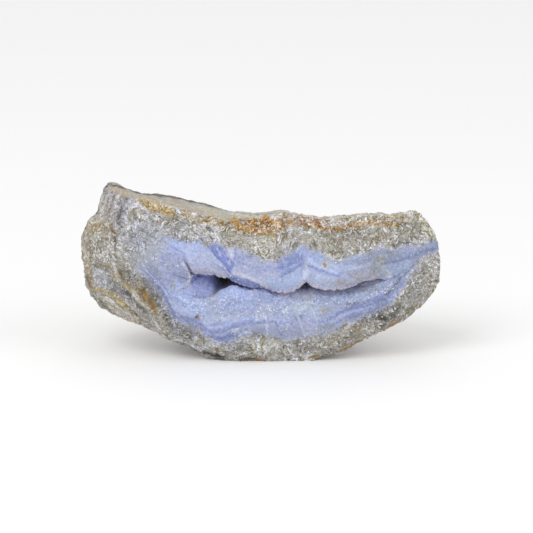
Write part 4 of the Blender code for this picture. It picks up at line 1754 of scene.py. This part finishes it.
@dataclass
class AgateChunk:
    """The stone: its skin, its relief and the zones of colour on it.

    Widths are in steps of the drawing and depths in mm where a comment says nothing else.
    """

    # The view, the noise and the quartz; the real depth in metres; points along each of the
    # four runs of a ring, and rings in the hollow, on the face, its edge and the back.
    drawing: Drawing = field(default_factory=Drawing)
    grit: Grit = Grit(seed=11)
    fabric: Fabric = Fabric()
    depth: float = 0.035
    per_run: int = 172
    hollow_rings: int = 14
    face_rings: int = 72
    edge_rings: int = 26
    back_rings: int = 28
    # The sway of the outlines: its wave and its reach.
    sway_size: float = 9.0
    sway_steps: float = 0.9
    # The face: a shallow bow round its middle, which rounds off on the right.
    bow_across: float = 0.00013
    bow_down: float = 0.00050
    face_middle: Point = (262.0, 288.0)
    face_setback: float = 1.5
    right_round_start: float = 375.0
    right_round_bow: float = 0.0011
    edge_bulge_power: float = 0.5
    # The mouth: a jagged upper lip that curls back, and a floor that rolls in.
    lip_jag: float = 0.9
    lip_jag_size: float = 5.0
    lip_curl: float = 1.4
    lip_curl_steps: float = 5.0
    floor_roll: float = 1.5
    floor_roll_steps: float = 12.0
    # The hollow: how wide it is at its inmost line, how it dives, and how late its floor
    # rises, which is later in the bowl on the left.
    hollow_gap: float = 1.2
    dive_power: float = 1.2
    floor_delay: float = 0.8
    bowl_delay: float = 2.2
    bowl_middle: float = 229.0
    bowl_half_width: float = 13.0
    # The back, in metres: how far it turns in and slopes, how square its hump and its keel
    # are, how it narrows, its middle, the level of the foot, and the flat breaks, each with
    # the direction that it faces and its distance from the middle.
    back_turn: float = math.radians(89.2)
    back_slope: float = 0.22
    hump_squareness: float = 2.5
    keel_squareness: float = 4.0
    keel_power: float = 0.5
    back_narrowing: float = 0.45
    narrowing_power: int = 3
    back_middle: Point = (0.0, 0.018, 0.020)
    foot_level: float = -0.0014
    breaks: tuple[tuple[Point, float], ...] = (
        ((0.15, 0.72, 0.68), 0.0185),
        ((-0.62, 0.75, 0.22), 0.0315),
        ((0.55, 0.62, -0.56), 0.0260),
        ((-0.08, 0.93, -0.36), 0.0155),
        ((0.70, 0.66, 0.28), 0.0310),
    )
    # Behind the outline, in mm: how far the drawing's colours drift, where they end, how far
    # the blue reaches, and where the weathered crust starts.
    back_drift: float = 16.0
    drift_reach: float = 10.0
    drift_size: float = 14.0
    drawn_ends: tuple[float, float] = (2.4, 0.3)
    blue_ends: tuple[float, float] = (6.0, 4.0)
    blue_jag: float = 1.5
    crust_starts: tuple[float, float] = (21.0, 24.0)
    # The borders of the grounds: their jags, with the wave of them, and soft widths.
    jag: float = 1.2
    jag_size: float = 7.0
    crystal_jag: float = 2.0
    lens_edge: float = 3.0
    lens_soft: Lump = Lump(146, 248, 20, 28, 15.0)
    lining_starts: tuple[float, float] = (1.5, 6.0)
    lip_ends: tuple[float, float] = (5.5, 1.5)
    lip_right_end: float = 386.0
    cap_jag: float = 0.4
    cap_edge: float = 0.8
    end_jag: float = 0.6
    end_edge: float = 1.5
    # The paint: how far the drawn colours are shaken, with the wave of it, how far amber and
    # haze calm the sparkle, what is left of the bark behind the outline, and how sugary the
    # ground is where its faces are shaded flat.
    shake: float = 1.1
    shake_size: float = 5.0
    shake_shift: float = 300.0
    amber_calm: float = 0.8
    haze_calm: float = 0.3
    bark_behind: float = 0.3
    crisp_sugar: float = 0.6

    face_lumps: tuple[Lump, ...] = (
        Lump(209, 260, 17, 15, 1.6), Lump(174, 270, 15, 17, 1.5),
        Lump(286, 281, 16, 12, 1.6), Lump(330, 279, 20, 10, 1.5),
        Lump(366, 273, 20, 8, 1.0), Lump(249, 262, 12, 10, 0.6),
        Lump(232, 297, 13, 9, 1.4), Lump(262, 324, 45, 9, 1.2),
        Lump(350, 311, 40, 8, 0.9), Lump(190, 311, 20, 10, 0.8),
        Lump(220, 255, 7, 9, -1.0), Lump(306, 272, 4, 11, -1.2),
        Lump(204, 286, 12, 8, -1.2), Lump(150, 222, 22, 10, 0.8),
        Lump(196, 231, 16, 8, 0.7), Lump(268, 236, 20, 9, 0.7),
        Lump(334, 239, 18, 8, -0.7), Lump(385, 232, 20, 8, 0.8),
        Lump(418, 275, 9, 16, 0.8), Lump(250, 348, 26, 6, 0.6),
        Lump(330, 342, 18, 6, -0.5), Lump(150, 292, 9, 14, -0.9),
    )
    end_lumps: tuple[Lump, ...] = (
        Lump(107, 245, 9, 22, 1.6), Lump(103, 276, 9, 9, -2.0),
        Lump(112, 300, 16, 7, 1.4), Lump(122, 214, 3.5, 12, -1.5),
        Lump(114, 206, 6, 12, 1.0),
    )

    face_ledges: tuple[Ledge, ...] = (
        Ledge("226,270 233,274 244,278 252,281 262,286", 1.3, 7.0),
        Ledge("227,269 215,256 203,242", 0.8, 12.0),
        Ledge("236,268 229,257 224,246", -0.5, 10.0),
        Ledge("279,260 278,270 276,279", -0.5, 10.0),
        Ledge("184,287 190,283 191,277 189,272 186,264", 1.4, 5.0),
        Ledge("191,325 197,330 202,337 203,344", -0.9, 10.0),
        Ledge("172,316 186,319 203,324 211,332 221,333 233,326 250,323 266,322", 0.5, 8.0),
        Ledge("330,321 340,311 365,306 386,297 402,285", 0.4, 6.0),
        Ledge("386,272 394,275 396,279", 0.5, 5.0),
        Ledge("387,263 409,258 438,245", 0.5, 6.0),
    )
    face_grooves: tuple[Groove, ...] = (
        Groove("186,264 189,269 192,273", 0.8, 0.9),
        Groove("407,272 398,280 395,284 391,290 386,296", 0.8, 0.35),
        Groove("306,260 307,270 306,280", 1.6, -0.7),
        Groove("309,266 316,270 326,272 331,275 339,277", 1.2, 0.4),
        Groove("297,318 300,326 306,336", 0.8, -0.25),
        Groove("312,306 314,314 317,322 318,333", 0.8, -0.25),
        Groove("275,323 278,330 283,338", 0.8, -0.25),
        Groove("208,227 210,231", 1.2, 0.8),
    )
    end_ledges: tuple[Ledge, ...] = (
        Ledge("90,257 98,261 108,266 113,276 121,280", 2.0, 9.0),
        Ledge("92,288 104,292 112,295 123,303 137,316", -1.2, 8.0),
        Ledge("116,244 114,236 110,226 108,212 112,198", 1.0, 7.0),
    )
    end_grooves: tuple[Groove, ...] = (
        Groove("127,203 123,211 122,220 120,230", 2.4, 1.4),
        Groove("117,236 116,250 117,262", 1.4, 0.8),
        Groove("91,236 96,246 104,250 108,258", 1.5, 0.6),
    )

    sugar: dict[Ground, float] = field(default_factory=lambda: {
        Ground.CHALCEDONY: 0.2, Ground.LINING: 0.25, Ground.LIP: 0.5, Ground.QUARTZ: 1.0,
        Ground.CAP: 0.35, Ground.END: 0.55, Ground.CRUST: 0.7,
    })
    fractures: dict[Ground, Fracture] = field(default_factory=lambda: {
        Ground.CHALCEDONY: Fracture(5.0, 0.16, 0.8, 0.07),
        Ground.LINING: Fracture(3.0, 0.14, 0.8, 0.08),
        Ground.LIP: Fracture(2.2, 0.20, 0.7, 0.20),
        Ground.QUARTZ: Fracture(5.0, 0.42, 0.85, 0.34, 0.6),
        Ground.CAP: Fracture(8.0, 0.22, 1.2, 0.06),
        Ground.END: Fracture(5.0, 0.42, 0.95, 0.30, 0.6),
        Ground.CRUST: Fracture(9.0, 0.90, 3.2, 0.45),
    })

    def walk_runs(self, runs: Runs) -> Array:
        """Set points at even steps along each run, which ends where the next one starts.

        Args:
            runs: four lines of corners that close on each other.

        Returns:
            One row for each point, with as many columns as the corners have.
        """
        points = []
        for index, run in enumerate(runs):
            corners = np.array(run + (runs[(index + 1) % len(runs)][0],), dtype=float)
            legs = np.linalg.norm(np.diff(corners[:, :2], axis=0), axis=1)
            way = np.concatenate(([0.0], np.cumsum(legs)))
            steps = np.linspace(0.0, way[-1], self.per_run, endpoint=False)
            columns = [np.interp(steps, way, column) for column in corners.T]
            points.append(np.stack(columns, axis=1))
        return np.concatenate(points)

    def hollow_ring(self) -> Array:
        """Walk out along the hollow's line and back just under it.

        Returns:
            The inmost ring, with a place across, a place down and a depth for each point.
        """
        end = (HOLLOW_LINE_END,)
        left, right = HOLLOW_LINE
        back_right = end + tuple(reversed(right[1:]))
        back_left = (right[0],) + tuple(reversed(left[1:]))
        ring = self.walk_runs((left, right, back_right, back_left))
        ring[2 * self.per_run:, 1] += self.hollow_gap
        return ring

    def sway(self, ring: Array) -> Array:
        """Shake a ring of straight legs by about a step, as broken stone runs.

        Args:
            ring: places across and down the drawing, and depths where it has them.

        Returns:
            The shaken ring.
        """
        ring = ring.copy()
        flat = np.stack([ring[:, 0], ring[:, 1], np.zeros(len(ring))], axis=-1)
        for column, start in enumerate((0.0, 500.0)):
            ring[:, column] += self.sway_steps * self.grit.lumps(flat + start, self.sway_size, 4)
        return ring

    def face_depth(self, across: Array, down: Array) -> Array:
        """Depth of the broken face: a shallow bow with lumps and dips on it.

        Args:
            across: places across the drawing.
            down: places down the drawing.

        Returns:
            Depths in mm.
        """
        middle_x, middle_y = self.face_middle
        depth = self.bow_across * (across - middle_x) ** 2
        depth = depth + self.bow_down * (down - middle_y) ** 2
        past = np.maximum(across - self.right_round_start, 0.0)
        depth += self.face_setback + self.right_round_bow * past ** 2
        for form in self.face_lumps + self.face_ledges + self.face_grooves:
            depth += form.depth(across, down)
        return depth

    def skin(self) -> Skin:
        """Work out the rings of the skin, before its fine relief.

        Returns:
            The skin, with each ring a blend of two outlines: hollow to mouth, mouth to
            rim and rim to outline, then the outline shrunk over the back.
        """
        core = self.sway(self.hollow_ring())
        mouth = self.sway(self.walk_runs(MOUTH))
        rim = self.sway(self.walk_runs(RIM))
        outline = self.sway(self.walk_runs(OUTLINE))
        over = np.zeros(len(mouth))
        over[1:2 * self.per_run] = 1.0
        flat = np.stack([mouth[:, 0], mouth[:, 1], over], axis=-1)
        mouth[:, 1] += self.lip_jag * over * self.grit.lumps(flat, self.lip_jag_size, 2)
        span = np.linalg.norm(rim - mouth, axis=1)

        def face_at(flat: Array, gap: Array) -> Array:
            """Depth of the face with the lips curled back near the mouth.

            Args:
                flat: places across and down the drawing.
                gap: their distances from the mouth.

            Returns:
                Depths in mm.
            """
            curl = over * self.lip_curl * np.exp(-(gap / self.lip_curl_steps) ** 2)
            roll = (1.0 - over) * self.floor_roll
            roll = roll * np.exp(-(gap / self.floor_roll_steps) ** 2)
            return self.face_depth(flat[..., 0], flat[..., 1]) + curl + roll

        mouth_depth = face_at(mouth, np.zeros(len(mouth)))
        rim_depth = face_at(rim, span)

        share = np.linspace(1.0, 0.0, self.hollow_rings, endpoint=False)[:, None]
        bowl = np.exp(-((mouth[:, 0] - self.bowl_middle) / self.bowl_half_width) ** 4)
        delay = self.floor_delay + self.bowl_delay * bowl
        rise = np.where(over > 0.5, share, share ** delay)
        hollow_flat = mouth + (core[:, :2] - mouth) * rise[..., None]
        inward = core[:, 2] * share ** self.dive_power
        hollow_depth = mouth_depth + inward

        share = np.linspace(0.0, 1.0, self.face_rings, endpoint=False)[:, None]
        face_flat = mouth + (rim - mouth) * share[..., None]
        face_depth = face_at(face_flat, span * share)

        share = np.linspace(0.0, 1.0, self.edge_rings)[:, None]
        edge_flat = rim + (outline[:, :2] - rim) * share[..., None]
        edge_depth = rim_depth + (outline[:, 2] - rim_depth) * share
        for form in self.end_lumps + self.end_ledges + self.end_grooves:
            bulge = form.depth(edge_flat[..., 0], edge_flat[..., 1])
            edge_depth = edge_depth + bulge * np.sin(math.pi * share) ** self.edge_bulge_power

        flat = np.concatenate([hollow_flat, face_flat, edge_flat])
        depth = np.concatenate([hollow_depth, face_depth, edge_depth])
        front = self.drawing.place(flat[..., 0], flat[..., 1], depth)
        back = self.back_shell(front[-1])
        points = np.concatenate([front, back])

        counts = (self.hollow_rings, self.face_rings, self.edge_rings, self.back_rings)
        owner = np.repeat(np.arange(len(counts)), counts)
        stretches = {
            stretch: np.repeat((owner == place)[:, None], len(mouth), axis=1).astype(float)
            for place, stretch in enumerate(Stretch)
        }
        place = np.concatenate([flat, np.repeat(flat[-1:], len(back), axis=0)])
        behind = np.maximum(points[..., 1] - front[-1, :, 1], 0.0) / MM
        behind *= stretches[Stretch.BACK]
        drift = self.back_drift * smooth_step(behind, 0.0, self.drift_reach)
        for column, start in enumerate((0.0, 0.5)):
            wander = self.grit.lumps(points + start, self.drift_size * MM, 3)
            place[..., column] += drift * wander
        inside = np.zeros(points.shape[:2])
        inside[:self.hollow_rings] = inward
        return Skin(points, place[..., 0], place[..., 1], stretches, inside, behind)

    def back_shell(self, outline_ring: Array) -> Array:
        """Rings over the back: a rounded hump above, a nearly level keel below.

        Args:
            outline_ring: the last ring of the front.

        Returns:
            The rings, which close to a slit and are cut by the flat breaks.
        """
        middle = np.array(self.back_middle)
        rise = outline_ring[:, 2] - middle[2]
        under = np.clip(-rise / middle[2], 0.0, 1.0) ** self.keel_power
        turn = np.linspace(0.0, self.back_turn, self.back_rings + 1)[1:, None]
        way = np.sin(turn)
        hump = (1.0 - way ** self.hump_squareness) ** (1.0 / self.hump_squareness)
        hump = hump * (1.0 - self.back_slope * way)
        keel = (1.0 - way ** self.keel_squareness) ** (1.0 / self.keel_squareness)
        narrow = 1.0 - self.back_narrowing * way ** self.narrowing_power
        x = outline_ring[:, 0] * narrow
        y = outline_ring[:, 1] + (self.depth - outline_ring[:, 1]) * way
        z = middle[2] + rise * (hump + (keel - hump) * under)
        rings = np.stack(np.broadcast_arrays(x, y, z), axis=-1)
        for facing, distance in self.breaks:
            normal = np.array(facing) / np.linalg.norm(facing)
            past = (rings - middle) @ normal - distance
            rings = rings - np.maximum(past, 0.0)[..., None] * normal
        return rings

    def seat(self, smooth: Array, points: Array) -> tuple[Array, Array]:
        """Wear the foot flat, stand the stone in the node's place and keep it in its box.

        Args:
            smooth: places of the skin before its fine relief, in metres.
            points: places with the fine relief.

        Returns:
            The places in the node's box, and the shift from the drawing's place to it.
        """
        low, high = (np.array(corner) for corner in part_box(STONE_NODE))
        worn = smooth.copy()
        worn[..., 2] = np.maximum(worn[..., 2], self.foot_level)
        own_low, own_high = worn.min(axis=(0, 1)), worn.max(axis=(0, 1))
        shift = (low + high) / 2.0 - (own_low + own_high) / 2.0
        shift[2] = low[2] - self.foot_level
        LOG.info("smooth skin to the node's box: %s", (own_high - own_low) / (high - low))
        return np.clip(points + shift, low, high), shift

    def grounds(self, skin: Skin, patterns: Patterns) -> dict[Ground, Array]:
        """Share out every point among the grounds; the shares of a point sum to one.

        Args:
            skin: the smooth skin.
            patterns: the grains on it, which the borders follow.

        Returns:
            For each ground, how far each point belongs to it, nought to one.
        """
        across, down = skin.across, skin.down
        back = skin.stretches[Stretch.BACK]
        hollow = skin.stretches[Stretch.HOLLOW]
        edge = skin.stretches[Stretch.EDGE]
        ragged = self.jag * self.grit.lumps(skin.flat(), self.jag_size, 3)
        behind = back * skin.points[..., 1] / MM
        crust = back * smooth_step(behind + ragged, *self.crust_starts)
        inside = depth_inside(across, down, LENS) + (
            ragged + self.crystal_jag * (patterns.splinters.shade - 0.5))
        soft = self.lens_soft.depth(across, down) - self.lens_edge
        lens = np.clip(0.5 - 0.5 * inside / soft, 0.0, 1.0)
        lens *= smooth_step(skin.behind + self.blue_jag * ragged, *self.blue_ends)
        lens = np.maximum(lens, hollow)
        lining = smooth_step(skin.inward, *self.lining_starts) * hollow
        gap, side = path_distance(across, down, MOUTH[0] + MOUTH[1])
        lip = smooth_step(gap + ragged, *self.lip_ends) * np.where(side < 0.0, 1.0, hollow)
        lip = lip * (1.0 - lining) * (across < self.lip_right_end)
        inside = depth_inside(across, down, CAP_OUTLINE) + ragged * self.cap_jag
        cap = smooth_step(inside, -self.cap_edge, self.cap_edge) * np.maximum(edge, back)
        inside = depth_inside(across, down, END_OUTLINE) + ragged * self.end_jag
        end = smooth_step(inside, -self.end_edge, self.end_edge) * (1.0 - hollow)
        left = np.ones(skin.across.shape)
        shares = {}
        for ground, weight in (
            (Ground.CRUST, crust), (Ground.LINING, lining), (Ground.LIP, lip),
            (Ground.CHALCEDONY, lens), (Ground.CAP, cap), (Ground.END, end),
        ):
            shares[ground] = left * weight
            left = left * (1.0 - weight)
        shares[Ground.QUARTZ] = left
        return shares

    def relief(self, skin: Skin, shares: dict[Ground, Array]) -> Array:
        """Lift the smooth skin along its normals by the broken lumps and grains.

        Args:
            skin: the smooth skin.
            shares: how far each point belongs to a ground.

        Returns:
            The places with their fine relief, in metres.
        """
        lift = np.zeros(skin.across.shape)
        for ground, fracture in self.fractures.items():
            lift += shares[ground] * fracture.lift(self.grit, skin.points)
        return skin.points + lift[..., None] * skin.normals()

    def paint(self, skin: Skin, shares: dict[Ground, Array], patterns: Patterns) -> Coat:
        """Lay the colours of all grounds on the skin.

        Args:
            skin: the smooth skin.
            shares: how far each point belongs to a ground.
            patterns: the grains and clouds on the skin.

        Returns:
            The colours and masks of the points.
        """
        flat = skin.flat()
        across = skin.across + self.shake * self.grit.lumps(flat, self.shake_size, 3)
        flat = flat + self.shake_shift
        down = skin.down + self.shake * self.grit.lumps(flat, self.shake_size, 3)
        front = 1.0 - shares[Ground.CRUST]
        blank = np.zeros(skin.across.shape + (3,))
        drawn = smooth_step(skin.behind, *self.drawn_ends)
        rock = Canvas(across, down, skin.inward, drawn, patterns, blank)
        SugaryQuartz().paint(rock, np.ones(front.shape))
        # Painted light along the top behind the outline, with a little rust.
        BackCrust().top_light_and_rust(rock, skin)
        WeatheredCap().paint(rock, shares[Ground.CAP])
        OldEnd().paint(rock, shares[Ground.END])
        iron = IronStain().paint(rock, front)
        amber = rock.lay_marks(AMBER_MARKS, front)
        BackCrust().paint(rock, shares[Ground.CRUST])
        wax = Canvas(across, down, skin.inward, drawn, patterns, blank.copy())
        HollyChalcedony().paint(wax, shares[Ground.LIP])
        HollowLining().paint(wax, shares[Ground.LINING])

        lens = shares[Ground.CHALCEDONY] + shares[Ground.LINING] + shares[Ground.LIP]
        sugar = sum(shares[ground] * amount for ground, amount in self.sugar.items())
        druse = np.zeros(front.shape)
        for area in DRUSE_AREAS:
            druse = np.maximum(druse, area.weight(wax) * lens)
        sugar = np.maximum(sugar, druse) * (1.0 - self.amber_calm * amber)
        sugar *= 1.0 - self.haze_calm * BLUE_HAZE.weight(rock)
        behind = self.bark_behind
        bark = OldEnd().bark(rock, shares[Ground.END]) * (behind + (1.0 - behind) * drawn)
        return Coat(rock.colour, wax.colour, sugar, lens, iron * (1.0 - amber),
                    bark * (1.0 - amber))

    def mesh(self, points: Array, coat: Coat) -> bpy.types.Mesh:
        """Join the rings into one closed mesh with smooth shading.

        Args:
            points: the final places of the skin's points.
            coat: the colours and masks of the points.

        Returns:
            The mesh, whose vertices run ring by ring, with the coat's layers.
        """
        rings, count = points.shape[:2]
        number = np.arange(rings * count).reshape(rings, count)
        after = np.roll(number, -1, axis=1)
        quads = np.stack([number[:-1], after[:-1], after[1:], number[1:]], axis=-1)
        quads = quads.reshape(-1, 4)
        faces = [quads]
        half = count // 2
        place = np.arange(1, half - 1)
        for ring, flip in ((0, 1), (rings - 1, -1)):
            row = number[ring]
            cap = np.stack([row[place], row[place + 1], row[count - place - 1],
                            row[count - place]], axis=-1)
            faces.append(cap[:, ::-flip])
        mesh = bpy.data.meshes.new(STONE_NODE + "_skin")
        corners = np.concatenate(faces).tolist()
        for ring, flip in ((0, 1), (rings - 1, -1)):
            row = number[ring]
            tips = ([row[0], row[1], row[-1]], [row[half], row[half + 1], row[half - 1]])
            corners += [[int(v) for v in tip[::-flip]] for tip in tips]
        mesh.from_pydata(points.reshape(-1, 3).tolist(), [], corners)
        crisp = self.crisp_faces(len(corners), number, coat.sugar)
        mesh.polygons.foreach_set("use_smooth", ~crisp)
        for name, values in coat.layers().items():
            layer = mesh.attributes.new(name, "FLOAT_COLOR", "POINT")
            layer.data.foreach_set("color", values.astype(np.float32).ravel())
        return mesh

    def crisp_faces(self, count: int, number: Array, sugar: Array) -> Array:
        """Mark the faces of the sugary ground, which are shaded flat as crystals are.

        Args:
            count: how many faces the mesh has.
            number: numbers of the vertices, by ring and by place around it.
            sugar: how coarsely each of them sparkles.

        Returns:
            For each face, whether it is shaded flat.
        """
        crisp = np.zeros(count, dtype=bool)
        body = (number.shape[0] - 1) * number.shape[1]
        crisp[:body] = sugar[:-1].ravel() > self.crisp_sugar
        return crisp

    def build(self) -> tuple[bpy.types.Object, Array]:
        """Make the stone's object, with its place in its mesh.

        Returns:
            The object, and the shift from the drawing's place to the node's.
        """
        skin = self.skin()
        patterns = self.fabric.patterns(self.grit, skin.points)
        shares = self.grounds(skin, patterns)
        points, shift = self.seat(skin.points, self.relief(skin, shares))
        mesh = self.mesh(points, self.paint(skin, shares, patterns))
        mesh.materials.append(BrokenAgate().material())
        stone = bpy.data.objects.new("agate_stone", mesh)
        bpy.context.scene.collection.objects.link(stone)
        return stone, shift


@dataclass(frozen=True)
class SoftBox:
    """A square soft light.

    Attributes:
        name: its object's name.
        place: where it stands, in metres.
        size: its side in metres.
        power: its power in watts.
    """

    name: str
    place: Point
    size: float
    power: float

    def set_up(self, target: Point) -> bpy.types.Object:
        """Stand the light in its place and turn it to a target.

        Args:
            target: the point that it faces.

        Returns:
            The light's object.
        """
        data = bpy.data.lights.new(self.name, "AREA")
        data.shape = "SQUARE"
        data.size = self.size
        data.energy = self.power
        light = bpy.data.objects.new(self.name, data)
        bpy.context.scene.collection.objects.link(light)
        light.location = self.place
        aim = np.array(target) - np.array(self.place)
        flat = math.hypot(aim[0], aim[1])
        light.rotation_euler = (math.atan2(flat, -aim[2]), 0.0,
                                math.atan2(aim[1], aim[0]) - math.pi / 2.0)
        return light


@dataclass
class Studio:
    """A plain pale floor, soft light and a long lens at the drawing's view.

    Lengths are in metres, those of the lens in mm.
    """

    drawing: Drawing
    shift: Array
    lens: float = 400.0
    sensor: float = 36.0
    frame_steps: float = 533.0
    focus_depth: float = 5.0
    far_end: float = 20.0
    floor_half: float = 3.0
    white: str = "#ffffff"
    board_roughness: float = 0.9
    room_strength: float = 0.75
    target: Point = (0.0, 0.0, 0.02)
    boxes: tuple[SoftBox, ...] = (
        SoftBox("soft_box_left", (-0.5, -0.7, 0.9), 0.7, 5.0),
        SoftBox("soft_box_right", (0.8, -0.4, 0.5), 0.6, 1.5),
    )

    def camera(self) -> bpy.types.Object:
        """Set the camera so that one drawing step is one step of the picture.

        Returns:
            The camera.
        """
        data = bpy.data.cameras.new("view")
        data.lens = self.lens
        data.sensor_width = self.sensor
        data.clip_end = self.far_end
        camera = bpy.data.objects.new("view", data)
        bpy.context.scene.collection.objects.link(camera)
        middle = self.frame_steps / 2.0
        tilt = self.drawing.tilt
        target = self.drawing.place(middle, middle, self.focus_depth) + self.shift
        away = self.lens / self.sensor * (self.frame_steps * self.drawing.step)
        camera.location = target - np.array([0.0, math.cos(tilt), -math.sin(tilt)]) * away
        camera.rotation_euler = (math.pi / 2.0 - tilt, 0.0, 0.0)
        bpy.context.scene.camera = camera
        return camera

    def floor(self) -> bpy.types.Object:
        """Lay matt white board under the stone: it has no shine, so it stays in the back.

        Returns:
            The floor.
        """
        mesh = bpy.data.meshes.new("floor")
        half = self.floor_half
        corners = [(-half, -half, 0.0), (half, -half, 0.0), (half, half, 0.0),
                   (-half, half, 0.0)]
        mesh.from_pydata(corners, [], [(0, 1, 2, 3)])
        floor = bpy.data.objects.new("floor", mesh)
        bpy.context.scene.collection.objects.link(floor)
        material = bpy.data.materials.new("matt_white_board")
        material.use_nodes = True
        shader = material.node_tree.nodes["Principled BSDF"]
        shader.inputs["Base Color"].default_value = linear(self.white)
        shader.inputs["Roughness"].default_value = self.board_roughness
        mesh.materials.append(material)
        return floor

    def light(self) -> None:
        """Light the stone from a pale room and two large soft boxes."""
        world = bpy.data.worlds.new("pale_room")
        world.use_nodes = True
        background = world.node_tree.nodes["Background"]
        background.inputs["Color"].default_value = linear(self.white)
        background.inputs["Strength"].default_value = self.room_strength
        bpy.context.scene.world = world
        for box in self.boxes:
            box.set_up(self.target)


def main() -> None:
    """Build the stone and its studio, and report each piece."""
    logging.basicConfig(level=logging.INFO, format="%(message)s")
    scene = bpy.context.scene
    scene.view_settings.view_transform = "Standard"
    chunk = AgateChunk()
    stone, shift = chunk.build()
    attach(stone, ROOT_BODY)
    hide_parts(STONE_NODE)
    LOG.info("%s: %d faces", stone.name, len(stone.data.polygons))
    studio = Studio(chunk.drawing, shift)
    studio.floor()
    studio.light()
    studio.camera()


if __name__ == "__main__":
    main()
